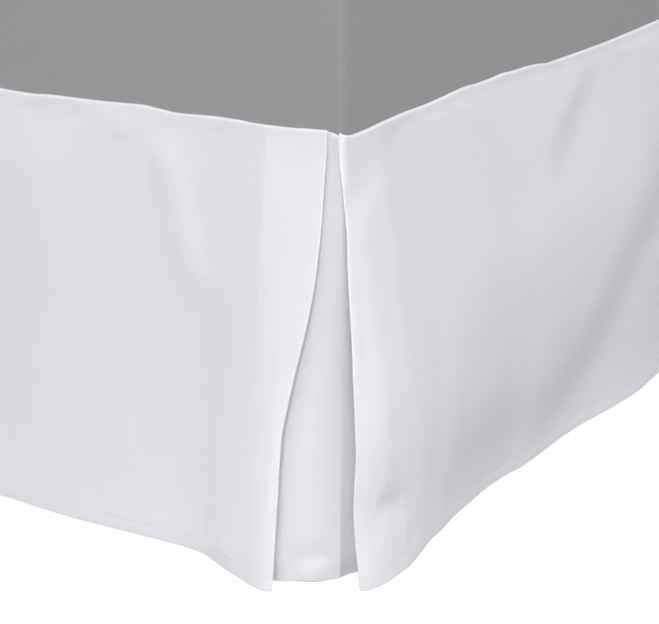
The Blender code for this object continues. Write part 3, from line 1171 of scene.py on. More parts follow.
def folded_end(
    face: np.ndarray, normals: np.ndarray, off_end: np.ndarray, step: np.ndarray, belly: np.ndarray
) -> Ribbon:
    """Folds a face's end back behind it.

    The turn is half a circle whose diameter is the step between the layers. The
    layer behind is the face moved in by the step and by the belly.

    Args:
        face: The face's places that the layer lies behind, from the end inward.
        normals: Unit normals there, towards the bed.
        off_end: Unit vectors that point off the end of the face.
        step: The step between the layers, for each row.
        belly: How much further in the layer hangs, rows by columns.

    Returns:
        The turn and the layer, from the end inward.
    """
    turns = np.radians(FOLD_ANGLES)
    radius = (step / 2)[:, None, None]
    inward, outward = normals[:, :1], off_end[:, None]
    cosine, sine = np.cos(turns)[None, :, None], np.sin(turns)[None, :, None]
    turn = face[:, :1] + radius * ((1 - cosine) * inward + sine * outward)
    layer = face + normals * (step[:, None] + belly)[..., None]
    turn_depth = step[:, None] / 2 * (1 - np.cos(turns))
    return Ribbon(
        np.concatenate([turn, layer], axis=1),
        np.concatenate([np.repeat(inward, len(turns), axis=1), normals], axis=1),
        np.concatenate([turn_depth, step[:, None] + belly], axis=1),
    )


@dataclass(frozen=True)
class Drop:
    """One drop of the skirt: a face with a turned end at each side.

    Subclasses give the columns of the face and say where a place on it lies in the
    bed's frame. The hang is the power of the opening that the hem's place takes.
    """

    name: str
    node: str
    flat_width_m: float
    hem_out: tuple[tuple[float, float], ...]
    top_rise: tuple[tuple[float, float], ...]
    shapes: tuple[Crease | Swell, ...]
    seed: int
    hang: float

    def face_columns(self, heights: np.ndarray) -> np.ndarray:
        """Distances of the face's columns at each height."""
        raise NotImplementedError

    def bent(self, path: np.ndarray, heights: np.ndarray) -> np.ndarray:
        """The face's path after it turns a corner, which most of it doesn't."""
        return path

    def end_layers(self) -> tuple[int, int]:
        """How many columns lie behind the face at its start and at its end."""
        raise NotImplementedError

    def to_bed(self, path: np.ndarray, height: np.ndarray) -> np.ndarray:
        """Places on the drop as points in the bed's frame."""
        raise NotImplementedError

    def pushed_out(self, along: np.ndarray, height: np.ndarray) -> np.ndarray:
        """How far wrinkles and the hem's bulk push the face out.

        The hem stands proud, and a bell curve draws the cloth in at the stitching.
        Wrinkles fade towards the pleats and the top.

        Args:
            along: Distances of the face's columns.
            height: Heights, in the same shape.

        Returns:
            The push at each place.
        """
        push = unevenness(along, height, self.seed) + pushed_by(self.shapes, along, height)
        fade = smoothstep((CLOTH.top - height) / CLOTH.wrinkle_depth)
        edge = CLOTH.hem_top + CLOTH.proud_edge / 2
        hem = CLOTH.hem_proud * smoothstep((edge - height) / CLOTH.proud_edge)
        from_stitches = (height - CLOTH.stitch_height) / CLOTH.drawn_width
        drawn = CLOTH.drawn_in * np.exp(-(from_stitches**2))
        return push * fade * self.free_of_pleats(along, height) + hem - drawn

    def free_of_pleats(self, along: np.ndarray, height: np.ndarray) -> np.ndarray:
        """0 over the closed layers of a pleat, rising to 1 beside it and lower down."""
        raise NotImplementedError

    def reach(self, heights: np.ndarray) -> np.ndarray:
        """How far a folded edge stands past the end of the flat face."""
        return layer_step(heights) / 2 + CLOTH.thickness / 2

    def ribbon(self, heights: np.ndarray) -> Ribbon:
        """The whole drop from above at each height, with both turned ends.

        Its face stands off the outline by the hem's place times a power of the
        opening. A pleat's layer hangs in by the belly, half a sine wave along it.

        Args:
            heights: The heights of the rows.

        Returns:
            The drop.
        """
        along = self.face_columns(heights)
        high = heights[:, None] + np.zeros_like(along)
        share = opening(high) ** self.hang
        out = CLOTH.face_out + share * curve_through(self.hem_out, along)
        face = np.stack([along, out + self.pushed_out(along, high)], -1)
        face = self.bent(face, heights)
        run = directions(face, 1)
        normals = quarter_turn(run)
        step = layer_step(heights)
        ends = []
        for count, order, off in zip(self.end_layers(), (1, -1), (-run[:, 0], run[:, -1])):
            depth = CLOTH.belly if count >= PLEAT_COLUMNS else 0.0
            belly = depth * opening(high[:, :1]) * np.sin(math.pi * np.linspace(0, 1, count))
            near, towards = face[:, ::order][:, :count], normals[:, ::order][:, :count]
            ends.append(folded_end(near, towards, off, step, belly))
        start, finish = ends
        return Ribbon(
            np.concatenate([start.points[:, ::-1], face, finish.points], 1),
            np.concatenate([start.bedward[:, ::-1], normals, finish.bedward], 1),
            np.concatenate([start.behind[:, ::-1], 0 * along, finish.behind], 1),
        )

    def middle_surface(self) -> np.ndarray:
        """The middle of the drop's cloth.

        A roll row turns inward on a circle that is smaller for a layer further
        behind, and a hem row is moved in from the cloth's own face. The uneven top
        edge fades down the face.

        Returns:
            Rows by columns of points in the bed's frame, in millimetres.
        """
        rows = RowArrays.of_drop()
        ribbon = self.ribbon(rows.heights)
        own_normals = quarter_turn(directions(ribbon.points, 1))
        roll_in, roll_up = rows.rolled(CLOTH.roll - ribbon.behind)
        places = ribbon.points + ribbon.bedward * roll_in[..., None]
        places = places + own_normals * rows.inset[..., None]
        high = rows.heights[:, None] + roll_up
        rise = curve_through(self.top_rise, ribbon.points[..., 0])
        return self.to_bed(places, high + rise * near_top(high) - self.sag(ribbon, rows.heights))

    def sag(self, ribbon: Ribbon, heights: np.ndarray) -> np.ndarray:
        """How far the folded ends hang below the rest of the hem.

        It is a bell curve of the distance from a fold's edge, and it fades up the drop.

        Args:
            ribbon: The drop from above at each height.
            heights: The heights of the rows.

        Returns:
            How much lower each place lies.
        """
        start, end = self.end_layers()
        steps = np.linalg.norm(np.diff(ribbon.points, axis=1), axis=2)
        place = np.pad(np.cumsum(steps, axis=1), ((0, 0), (1, 0)))
        half_fold = len(FOLD_ANGLES) // 2
        edges = (start + half_fold, place.shape[1] - 1 - end - half_fold)
        total = np.zeros_like(place)
        for count, edge in zip((start, end), edges):
            if count >= PLEAT_COLUMNS:
                from_edge = (place - place[:, edge : edge + 1]) / CLOTH.tip_reach
                total = total + np.exp(-(from_edge**2))
        low = smoothstep((CLOTH.tip_height - heights) / CLOTH.tip_height)[:, None]
        return CLOTH.tip_sag * total * low

    def make(self, finish: bpy.types.Material) -> bpy.types.Object:
        """Builds the drop's sheet and dresses it."""
        points = self.middle_surface()
        return dressed(cloth_shell(self.name, points, flat_places(points)), finish)

    def stitch_line(self) -> tuple[np.ndarray, np.ndarray]:
        """The hem's stitching on the outside of the face.

        Returns:
            Points along the line and the outward direction at each, in millimetres.
        """
        ribbon = self.ribbon(np.array([CLOTH.stitch_height]))
        start, end = (count + len(FOLD_ANGLES) for count in self.end_layers())
        path, inward = ribbon.points[0, start:-end], ribbon.bedward[0, start:-end]
        level = np.full(len(path), CLOTH.stitch_height)
        line = self.to_bed(path - inward * CLOTH.thickness / 2, level)
        outer = self.to_bed(path - inward * (CLOTH.thickness / 2 + 1), level)
        return line, outer - line


def pleat_columns(edge: np.ndarray, inner: float, count: int) -> np.ndarray:
    """Columns at a power of even shares of the way from the fold edge to the inner fold."""
    share = np.linspace(0, 1, count) ** PLEAT_CROWDING
    return edge[:, None] + (inner - edge[:, None]) * share


def spaced(start: float, end: float, step: float) -> np.ndarray:
    """Distances after the start up to the end, about a step apart."""
    count = max(1, round((end - start) / step))
    return np.linspace(start, end, count + 1)[1:]


@dataclass(frozen=True)
class FootDrop(Drop):
    """The drop over the foot end, with an inverted pleat at each end of it.

    Its columns lie closer together up to the dense place and after the sparse one.
    """

    dense_to: float = 420.0
    sparse_to: float = 1380.0
    steps: tuple[float, float, float] = (4.5, 9.0, 5.0)
    still: tuple[float, float] = (76.0, 72.0)
    still_fade: float = 30.0

    def face_columns(self, heights: np.ndarray) -> np.ndarray:
        """Distances of the face's columns, over both pleats and between them.

        Args:
            heights: The heights of the rows.

        Returns:
            The distances, rows by columns.
        """
        right, left = (
            pleat_columns(
                curve_through(pleat.foot_fold, heights) + self.reach(heights),
                pleat.foot_inner,
                PLEAT_COLUMNS,
            )
            for pleat in (RIGHT_PLEAT, LEFT_PLEAT)
        )
        right_step, middle_step, left_step = self.steps
        run = np.concatenate(
            [
                spaced(RIGHT_PLEAT.foot_inner, self.dense_to, right_step),
                spaced(self.dense_to, self.sparse_to, middle_step),
                spaced(self.sparse_to, BED.width - LEFT_PLEAT.foot_inner, left_step)[:-1],
            ]
        )
        middle = np.broadcast_to(run, (len(heights), len(run)))
        return np.concatenate([right, middle, BED.width - left[:, ::-1]], axis=1)

    def end_layers(self) -> tuple[int, int]:
        """Both ends have a pleat's layer."""
        return PLEAT_COLUMNS, PLEAT_COLUMNS

    def free_of_pleats(self, along: np.ndarray, height: np.ndarray) -> np.ndarray:
        """0 over the layers of both pleats, rising to 1 between them."""
        right = smoothstep((along - self.still[0]) / self.still_fade)
        return right * smoothstep((BED.width - self.still[1] - along) / self.still_fade)

    def to_bed(self, path: np.ndarray, height: np.ndarray) -> np.ndarray:
        """Places on the foot drop as points.

        Args:
            path: Pairs of (along, out): along runs to the left, out to the foot.
            height: The height of each place.

        Returns:
            Points in the bed's frame, in millimetres.
        """
        x = BED.half_width - path[..., 0]
        y = BED.foot_y - path[..., 1]
        return np.stack([x, y, height], -1)


@dataclass(frozen=True)
class SideDrop(Drop):
    """A long side's drop: a pleat at the foot corner and a turned hem at the head.

    The flap's edge turns out the most at one height, over a width along the drop
    and up it. The face's columns lie closer together up to the dense place and over
    the head's hem. Wrinkles grow past the pleat, and sooner lower down.
    """

    side: Side = Side.RIGHT
    pleat: Pleat = RIGHT_PLEAT
    dense_to: float = 640.0
    steps: tuple[float, float] = (4.5, 9.5)
    head_hem: tuple[float, ...] = (12.0, 9.0, 6.0, 3.0, 0.0)
    edge_out: float = 2.4
    edge_height: float = 204.0
    edge_widths: tuple[float, float] = (9.0, 42.0)
    still_overlap: float = 12.0
    still_fade: float = 70.0
    freed: float = 1.3
    freed_from: float = 370.0
    freed_depth: float = 76.0
    least_turn: float = 1e-4

    def pushed_out(self, along: np.ndarray, height: np.ndarray) -> np.ndarray:
        """The push of wrinkles and the hem, and a bell curve that turns the edge out.

        Args:
            along: Distances of the face's columns.
            height: Heights, in the same shape.

        Returns:
            The push at each place.
        """
        from_edge = (along - along[:, :1]) / self.edge_widths[0]
        from_height = (height - self.edge_height) / self.edge_widths[1]
        turned_out = np.exp(-(from_edge**2) - from_height**2)
        return super().pushed_out(along, height) + self.edge_out * turned_out

    def face_columns(self, heights: np.ndarray) -> np.ndarray:
        """Distances of the face's columns, over the pleat and on to the head.

        Args:
            heights: The heights of the rows.

        Returns:
            The distances, rows by columns.
        """
        edge = curve_through(self.pleat.side_fold, heights) + self.reach(heights)
        flap = pleat_columns(edge, self.pleat.side_inner, SIDE_PLEAT_COLUMNS)
        near_step, far_step = self.steps
        run = np.concatenate(
            [
                spaced(self.pleat.side_inner, self.dense_to, near_step),
                spaced(self.dense_to, BED.length - self.head_hem[0], far_step),
                BED.length - np.array(self.head_hem[1:]),
            ]
        )
        return np.concatenate([flap, np.broadcast_to(run, (len(heights), len(run)))], axis=1)

    def bent(self, path: np.ndarray, heights: np.ndarray) -> np.ndarray:
        """The path turned round the corner in the closed band, and free below it.

        The part past the corner's start follows a circle whose length stays the
        same while its turn falls from a right angle almost to nothing, then runs
        straight.

        Args:
            path: Places on the face.
            heights: The height of each row.

        Returns:
            The places after the turn.
        """
        closing = (heights - CLOTH.corner_free) / (CLOTH.closed_band - CLOTH.corner_free)
        turn = np.maximum(math.pi / 2 * smoothstep(closing), self.least_turn)[:, None]
        radius = CLOTH.corner_arc / turn
        past = np.maximum(CLOTH.corner_centre - path[..., 0], 0.0)
        on_arc = np.minimum(past, CLOTH.corner_arc) / radius
        after = np.maximum(past - CLOTH.corner_arc, 0.0)
        along = past - radius * np.sin(on_arc) - after * np.cos(turn)
        inward = radius * (1 - np.cos(on_arc)) + after * np.sin(turn)
        return path + np.stack([along, -inward], -1)

    def end_layers(self) -> tuple[int, int]:
        """A pleat's layer at the foot corner and a narrow side hem at the head."""
        return SIDE_PLEAT_COLUMNS, len(self.head_hem)

    def free_of_pleats(self, along: np.ndarray, height: np.ndarray) -> np.ndarray:
        """0 over the pleat's closed layers, whose hem moves more freely.

        It is a soft step of the distance past the pleat, which comes sooner lower down.

        Args:
            along: Distances along the drop.
            height: Heights on the drop, in the same shape.

        Returns:
            The share of the wrinkles that is left at each place.
        """
        lower = smoothstep((self.freed_from - height) / self.freed_depth)
        past = (along - self.pleat.side_inner + self.still_overlap) / self.still_fade
        return smoothstep(past + self.freed * lower)

    def to_bed(self, path: np.ndarray, height: np.ndarray) -> np.ndarray:
        """Places on the side drop as points.

        Args:
            path: Pairs of (along, out): along runs to the head, out to the side.
            height: The height of each place.

        Returns:
            Points in the bed's frame, in millimetres.
        """
        x = self.side.value * (BED.half_width + path[..., 1])
        y = BED.foot_y + path[..., 0]
        return np.stack([x, y, height], -1)

    def middle_surface(self) -> np.ndarray:
        """The middle of the cloth, its columns ordered so that it faces outward."""
        points = super().middle_surface()
        return points[:, ::-1] if self.side is Side.RIGHT else points


@dataclass(frozen=True)
class Underlay:
    """The piece behind one foot corner's two folds, pressed to a crease at the corner.

    Its columns crowd towards the crease by a power of their share of the way. The
    part near the corner has one shape on both sides of the bed. Its hem sags about
    a place beside the crease.
    """

    name: str
    node: str
    side: Side
    pleat: Pleat
    foot_flare: float
    side_flare: float
    flat_width_m: float = 0.135
    columns: tuple[int, int] = (27, 24)
    crowding: float = 1.5
    corner_part: float = 15.0
    sewn_out: float = 1.6
    sag: float = 2.5
    sag_place: float = -19.0
    sag_width: float = 12.0
    sag_height: float = 110.0

    def outline(self, heights: np.ndarray) -> np.ndarray:
        """The underlay from above at each height.

        Each place moves from its top over its middle to its hem as the cloth opens.
        Where the layers are sewn together the whole outline moves out.

        Args:
            heights: The heights of the rows.

        Returns:
            Rows by columns of (x, y) from the corner, for the right-hand side.
        """
        table = np.array(UNDERLAY_ROWS, float)
        first = table[: UNDERLAY_CREASE + 1]
        second = table[UNDERLAY_CREASE:]
        before, after = self.columns
        closing = 1 - np.linspace(1, 0, before + 1) ** self.crowding
        leaving = np.linspace(0, 1, after + 1) ** self.crowding
        fine = np.concatenate(
            [self._resampled(first, closing)[:-1], self._resampled(second, leaving)]
        )
        top_x, top_y, mid_x, mid_y, hem_x, hem_y = fine.T
        wider = self.pleat.foot_inner / RIGHT_PLEAT.foot_inner - 1
        longer = self.pleat.side_inner / RIGHT_PLEAT.side_inner - 1
        foot_share = np.where(top_x < -self.corner_part, wider, 0)
        side_share = np.where(top_y > self.corner_part, longer, 0)
        x = self._opened(top_x, mid_x, hem_x, self.side_flare, heights) + foot_share * top_x
        y = self._opened(top_y, mid_y, hem_y, self.foot_flare, heights) + side_share * top_y
        path = np.stack([x, y], -1)
        outward = quarter_turn(directions(path, 1))
        sewn = 1 - smoothstep((CLOTH.top - heights) / CLOTH.sewn_depth)
        place = distances(path[-1])
        place = (place - place[before])[None] + 0 * x
        push = pushed_by(UNDERLAY_SHAPES, place, heights[:, None] + 0 * x)
        return path + outward * (self.sewn_out * sewn[:, None] + push)[..., None]

    def _opened(
        self, top: np.ndarray, mid: np.ndarray, hem: np.ndarray, flare: float, heights: np.ndarray
    ) -> np.ndarray:
        """One coordinate of the outline at each height.

        It follows the parabola through its values where the cloth is closed, open by
        UNDERLAY_MID and fully open.

        Args:
            top: The coordinate where the cloth is closed.
            mid: The coordinate where the cloth is open by UNDERLAY_MID.
            hem: The coordinate at the hem.
            flare: The share of the opening that is used.
            heights: The heights of the rows.

        Returns:
            The coordinate, rows by columns.
        """
        share = opening(heights)[:, None]
        bend = ((hem - top) - (mid - top) / UNDERLAY_MID) / (1 - UNDERLAY_MID)
        rise = (hem - top) - bend
        return top + flare * (rise * share + bend * share**2)

    def _resampled(self, rows: np.ndarray, shares: np.ndarray) -> np.ndarray:
        """A table's rows read off smooth curves.

        Args:
            rows: Rows of (x, y) at the top, in the middle and at the hem.
            shares: Where to read them, as shares of the length along the hem.

        Returns:
            The new rows.
        """
        place = distances(rows[:, 4:])
        at = shares * place[-1]
        columns = [curve_through(tuple(zip(place, column)), at) for column in rows.T]
        return np.stack(columns, -1)

    def make(self, finish: bpy.types.Material) -> bpy.types.Object:
        """Builds the underlay's sheet, with its turned hem, and dresses it.

        It rolls over at the top two layers behind a drop's face. Its sag is a bell
        curve across the hem that fades up the cloth.

        Args:
            finish: The skirt's cloth.

        Returns:
            The piece.
        """
        rows = RowArrays.of_drop()
        path = self.outline(rows.heights)
        outward = quarter_turn(directions(path, 1))
        roll_in, roll_up = rows.rolled(CLOTH.roll - 2 * CLOTH.sewn_step)
        path = path - outward * (roll_in + rows.inset)[..., None]
        low = smoothstep((self.sag_height - rows.heights) / self.sag_height)[:, None]
        from_sag = (path[..., 0] - self.sag_place) / self.sag_width
        high = rows.heights[:, None] + roll_up - self.sag * low * np.exp(-(from_sag**2))
        x = self.side.value * (BED.half_width + path[..., 0])
        y = BED.foot_y + path[..., 1]
        points = np.stack([x, y, high + near_top(high) * seam_rise(x, y)], -1)
        if self.side is Side.RIGHT:
            points = points[:, ::-1]
        return dressed(cloth_shell(self.name, points, flat_places(points)), finish)


@dataclass(frozen=True)
class Stitching:
    """Lock stitches along a line, each a short rounded length of thread.

    A ring is a (place, size) pair: its share of half the stitch's length from the
    middle, and its share of the radius. The lift of the axis off the cloth and the
    dip of the ends are shares of the radius too. A stitch points to the place that
    lies ahead of its middle.
    """

    pitch: float = 3.1
    length: float = 2.3
    radius: float = 0.17
    lift: float = 0.6
    dip: float = 0.9
    ahead: float = 0.5
    sides: int = 6
    rings: tuple[tuple[float, float], ...] = (
        (-1, 0.25), (-0.8, 0.8), (0, 1), (0.8, 0.8), (1, 0.25),
    )  # fmt: skip
    end_caps: tuple[tuple[int, int, int, int], ...] = ((3, 2, 1, 0), (5, 4, 3, 0))

    def make(
        self, name: str, line: np.ndarray, outward: np.ndarray, finish: bpy.types.Material
    ) -> bpy.types.Object:
        """Lays stitches along a line.

        Each stitch is a tube of six-sided rings round a straight axis, with its ends
        dipping into the cloth and closed by two faces each.

        Args:
            name: The piece's name.
            line: Points along the line on the cloth's surface, in millimetres.
            outward: Vectors that point away from the cloth.
            finish: The thread's material.

        Returns:
            The piece.
        """
        place = distances(line)
        at = np.arange(self.pitch, place[-1] - self.pitch, self.pitch)
        centre = np.stack([np.interp(at, place, axis) for axis in line.T], -1)
        out = unit(np.stack([np.interp(at, place, axis) for axis in outward.T], -1))
        ahead = np.stack([np.interp(at + self.ahead, place, axis) for axis in line.T], -1)
        run = unit(ahead - centre)
        up = unit(np.cross(run, out))
        angle = np.linspace(0, 2 * math.pi, self.sides, endpoint=False)
        rings = np.array(self.rings)
        forward = rings[:, 0] * self.length / 2
        size = rings[:, 1] * self.radius
        lift = self.radius * self.lift - self.dip * self.radius * rings[:, 0] ** 2
        circle = (
            np.cos(angle)[None, None, :, None] * out[:, None, None, :]
            + np.sin(angle)[None, None, :, None] * up[:, None, None, :]
        )
        points = (
            centre[:, None, None]
            + run[:, None, None] * forward[None, :, None, None]
            + out[:, None, None] * lift[None, :, None, None]
            + circle * size[None, :, None, None]
        )
        count = len(rings) * self.sides
        ring = np.arange(len(rings) - 1)[:, None] * self.sides
        here = np.arange(self.sides)[None]
        beside = (here + 1) % self.sides
        tube = np.stack(
            [ring + here, ring + beside, ring + beside + self.sides, ring + here + self.sides], -1
        ).reshape(-1, 4)
        caps = np.array(self.end_caps)
        one = np.concatenate([tube, caps, count - self.sides + caps[:, ::-1]])
        faces = (np.arange(len(centre))[:, None, None] * count + one[None]).reshape(-1, 4)
        points = points.reshape(-1, 3)
        return dressed(mesh_from(name, points, faces, points[:, :2] * MM), finish)


@dataclass(frozen=True)
class Deck:
    """The flat sheet between mattress and box spring that carries the drops.

    The grid's first and last lines have the margin's places, and between them lie
    so many lines from the clear distance on. The cloth waves a little both ways.
    """

    name: str = "skirt_deck"
    level: float = 383.1
    in_from_outline: float = 1.2
    margin: tuple[float, ...] = (0.0, 1.5, 3.0, 5.0, 7.5, 10.0, 14.0)
    clear: float = 20.0
    lines: tuple[int, int] = (150, 200)
    wave_height: float = 0.12
    wave_lengths: tuple[float, float] = (61.0, 83.0)

    def make(self, finish: bpy.types.Material) -> bpy.types.Object:
        """Lays the deck flat on the box spring.

        Its height is a sine wave across times one along it, and its edge lies under
        the drops' top roll.

        Args:
            finish: The skirt's cloth.

        Returns:
            The piece.
        """
        margin = np.array(self.margin)
        starts = (-BED.half_width, BED.foot_y)
        places = []
        for size, start, count in zip((BED.width, BED.length), starts, self.lines):
            reach = size - 2 * self.in_from_outline
            between = np.linspace(self.clear, reach - self.clear, count)
            line = np.concatenate([margin, between, reach - margin[::-1]])
            places.append(line + self.in_from_outline + start)
        x, y = np.meshgrid(*places)
        waves = self.wave_height * np.sin(x / self.wave_lengths[0])
        waves = waves * np.sin(y / self.wave_lengths[1])
        high = self.level + waves + seam_rise(x, y)
        points = np.stack([x, y, high], -1)
        return dressed(cloth_shell(self.name, points, points[..., :2] * MM), finish)


# ---------------------------------------------------------------- the plain bed


@dataclass(frozen=True)
class WrappedBlock:
    """A padded block with a fabric cover: the mattress or the box spring.

    It stands off the bed's outline by out, between its low and high levels. The
    corner is its radius from above, and the edges are those of its underside and
    top. The crown is reached some way in from the edge. The block may follow the
    skirt's uneven top edge up to a height above its underside. A flat row is a share
    of the way from the middle to the edge.
    """

    name: str
    out: float
    low: float
    high: float
    corner: float
    low_edge: float
    edge: float
    crown: float = 0.0
    softness: float = 0.0
    follows_seam: bool = False
    seam_reach: float = 45.0
    crown_reach: float = 120.0
    fullness: float = 0.6
    edge_rows: int = 7
    corner_points: int = 9
    side_points: int = 200
    side_rows: int = 24
    flat_rows: tuple[float, ...] = (
        0.0, 0.06, 0.12, 0.2, 0.3, 0.42, 0.55, 0.68, 0.8, 0.9, 0.96, 0.985,
    )  # fmt: skip

    def plan(self, inset: np.ndarray) -> np.ndarray:
        """The block from above: a rounded rectangle, made smaller by an inset.

        It goes round once, with closer points on the corners. A corner is a quarter
        circle, and the inset shrinks the whole towards the middle.

        Args:
            inset: Distance in from the outline, for each row.

        Returns:
            Rows by places of (x, y), round the block from its right foot corner.
        """
        half_x = BED.half_width + self.out
        half_y = BED.length / 2 + self.out
        runs = []
        sides = ((1, -1, 0.0), (1, 1, 90.0), (-1, 1, 180.0), (-1, -1, 270.0))
        straight = (half_y, half_x, half_y, half_x)
        for (sign_x, sign_y, start), reach in zip(sides, straight):
            angle = np.radians(start - 90 + np.linspace(0, 90, self.corner_points))
            centre = np.array([sign_x * (half_x - self.corner), sign_y * (half_y - self.corner)])
            ring = centre + self.corner * np.stack([np.cos(angle), np.sin(angle)], -1)
            forward = np.array([-math.sin(math.radians(start)), math.cos(math.radians(start))])
            walk = np.linspace(0, 2 * (reach - self.corner), self.side_points + 2)[1:-1]
            runs += [ring, ring[-1] + walk[:, None] * forward]
        outline = np.concatenate(runs)
        size = np.array([half_x, half_y])
        return outline[None] * (1 - inset[:, None, None] / size)

    def make(self, finish: bpy.types.Material) -> bpy.types.Object:
        """Builds the block.

        The surface goes from the middle of the underside over the rounded lower
        edge, up the sides, over the rounded upper edge to the middle of the top.
        The sides swell by the softness, as a power of half a sine wave up them. The
        top's edge lies lower than its middle by the crown.

        Args:
            finish: The cover's material.

        Returns:
            The piece.
        """
        turn = np.radians(np.linspace(0, 90, self.edge_rows))
        edge_in = self.edge * (1 - np.sin(turn))
        edge_up = self.edge * (1 - np.cos(turn))
        low_in, low_up = edge_in * self.low_edge / self.edge, edge_up * self.low_edge / self.edge
        flat_in = (1 - np.array(self.flat_rows)) * (BED.half_width - self.edge) + self.edge
        height = self.high - self.low
        side_up = np.linspace(0, height - self.low_edge - self.edge, self.side_rows + 2)[1:-1]
        inset = np.concatenate([flat_in, low_in, 0 * side_up, edge_in[::-1], flat_in[::-1]])
        lift = self.low + np.concatenate(
            [
                0 * flat_in,
                low_up,
                self.low_edge + side_up,
                height - edge_up[::-1],
                0 * flat_in + height,
            ]
        )
        swell = np.sin(math.pi * np.clip((lift - self.low) / height, 0, 1))
        path = self.plan(inset - self.softness * swell**self.fullness)
        on_top = lift > (self.low + self.high) / 2
        below_crown = self.crown * smoothstep((inset - self.edge) / self.crown_reach) - self.crown
        level = lift + np.where(on_top, below_crown, 0.0)
        x, y = path[..., 0], path[..., 1] + BED.middle_y
        near_seam = self.follows_seam * np.clip(1 - (lift - self.low) / self.seam_reach, 0.0, 1.0)
        points = np.stack([x, y, level[:, None] + near_seam[:, None] * seam_rise(x, y)], -1)
        middle = (0.0, BED.middle_y)
        ends = np.array([(*middle, points[0, 0, 2]), (*middle, points[-1, 0, 2])])
        return dressed(capped_rings(self.name, points[1:-1], ends), finish)


@dataclass(frozen=True)
class Legs:
    """Six tapered wood legs in three pairs, with eased edges.

    The insets are those of a leg's axis from the bed's sides and from its ends.
    """

    foot_radius: float = 20.0
    top_radius: float = 27.0
    eased: float = 1.5
    side_inset: float = 82.0
    end_inset: float = 97.0
    segments: int = 64
    eased_rows: int = 5
    taper_rows: int = 7
    sharp_turn: float = 40.0

    def places(self) -> dict[str, tuple[float, float]]:
        """The middle of each leg from above.

        Returns:
            A pair of (x, y) for each leg's CAD node.
        """
        rows = {"foot": BED.foot_y + self.end_inset, "middle": BED.middle_y}
        rows["head"] = BED.foot_y + BED.length - self.end_inset
        reach = BED.half_width - self.side_inset
        return {
            f"leg_{row}_{side.name.lower()}": (side.value * reach, y)
            for row, y in rows.items()
            for side in Side
        }

    def make(self, finish: bpy.types.Material) -> list[bpy.types.Object]:
        """Turns the legs.

        A leg is a profile turned round its axis: a flat foot, an eased edge, a
        straight taper, an eased edge and a flat top.

        Args:
            finish: The wood.

        Returns:
            The six pieces.
        """
        turn = np.radians(np.linspace(0, 90, self.eased_rows))
        foot, top, ease, height = self.foot_radius, self.top_radius, self.eased, BED.leg_height
        taper = np.linspace(0, 1, self.taper_rows + 2)[1:-1]
        radius = np.concatenate(
            [
                [foot / 2],
                foot - ease * (1 - np.sin(turn)),
                foot + (top - foot) * taper,
                top - ease * (1 - np.cos(turn)),
                [top / 2],
            ]
        )
        level = np.concatenate(
            [
                [0],
                ease * (1 - np.cos(turn)),
                height * taper,
                height - ease * (1 - np.sin(turn)),
                [height],
            ]
        )
        angle = np.linspace(0, 2 * math.pi, self.segments, endpoint=False)
        ring = np.stack([np.cos(angle), np.sin(angle)], -1)
        made = []
        for name, middle in self.places().items():
            x, y = np.moveaxis(np.array(middle) + radius[:, None, None] * ring, -1, 0)
            body = np.stack([x, y, level[:, None] + 0 * x], -1)
            ends = np.array([(*middle, level[0]), (*middle, level[-1])])
            mesh = capped_rings("wood_" + name, body, ends)
            mesh.set_sharp_from_angle(angle=math.radians(self.sharp_turn))
            made.append(dressed(mesh, finish))
        return made


# ---------------------------------------------------------------- the studio


@dataclass(frozen=True)
class SoftLight:
    """A square area light that shines near the right foot corner, in metres and watts."""

    name: str
    place: tuple[float, float, float]
    size: float
    power: float
    aim: tuple[float, float, float] = (0.6, -0.9, 0.2)
    tint: tuple[float, float, float] = (1.0, 0.985, 1.0)

    def make(self) -> bpy.types.Object:
        """Hangs the light and turns it to its aim.

        Returns:
            The light.
        """
        data = bpy.data.lights.new(self.name, "AREA")
        data.shape = "SQUARE"
        data.size = self.size
        data.energy = self.power
        data.color = self.tint
        made = linked(self.name, data)
        away = np.array(self.place) - np.array(self.aim)
        yaw = math.atan2(away[0], -away[1])
        pitch = math.atan2(math.hypot(away[0], away[1]), away[2])
        made.location = self.place
        made.rotation_euler = (pitch, 0.0, yaw)
        return made


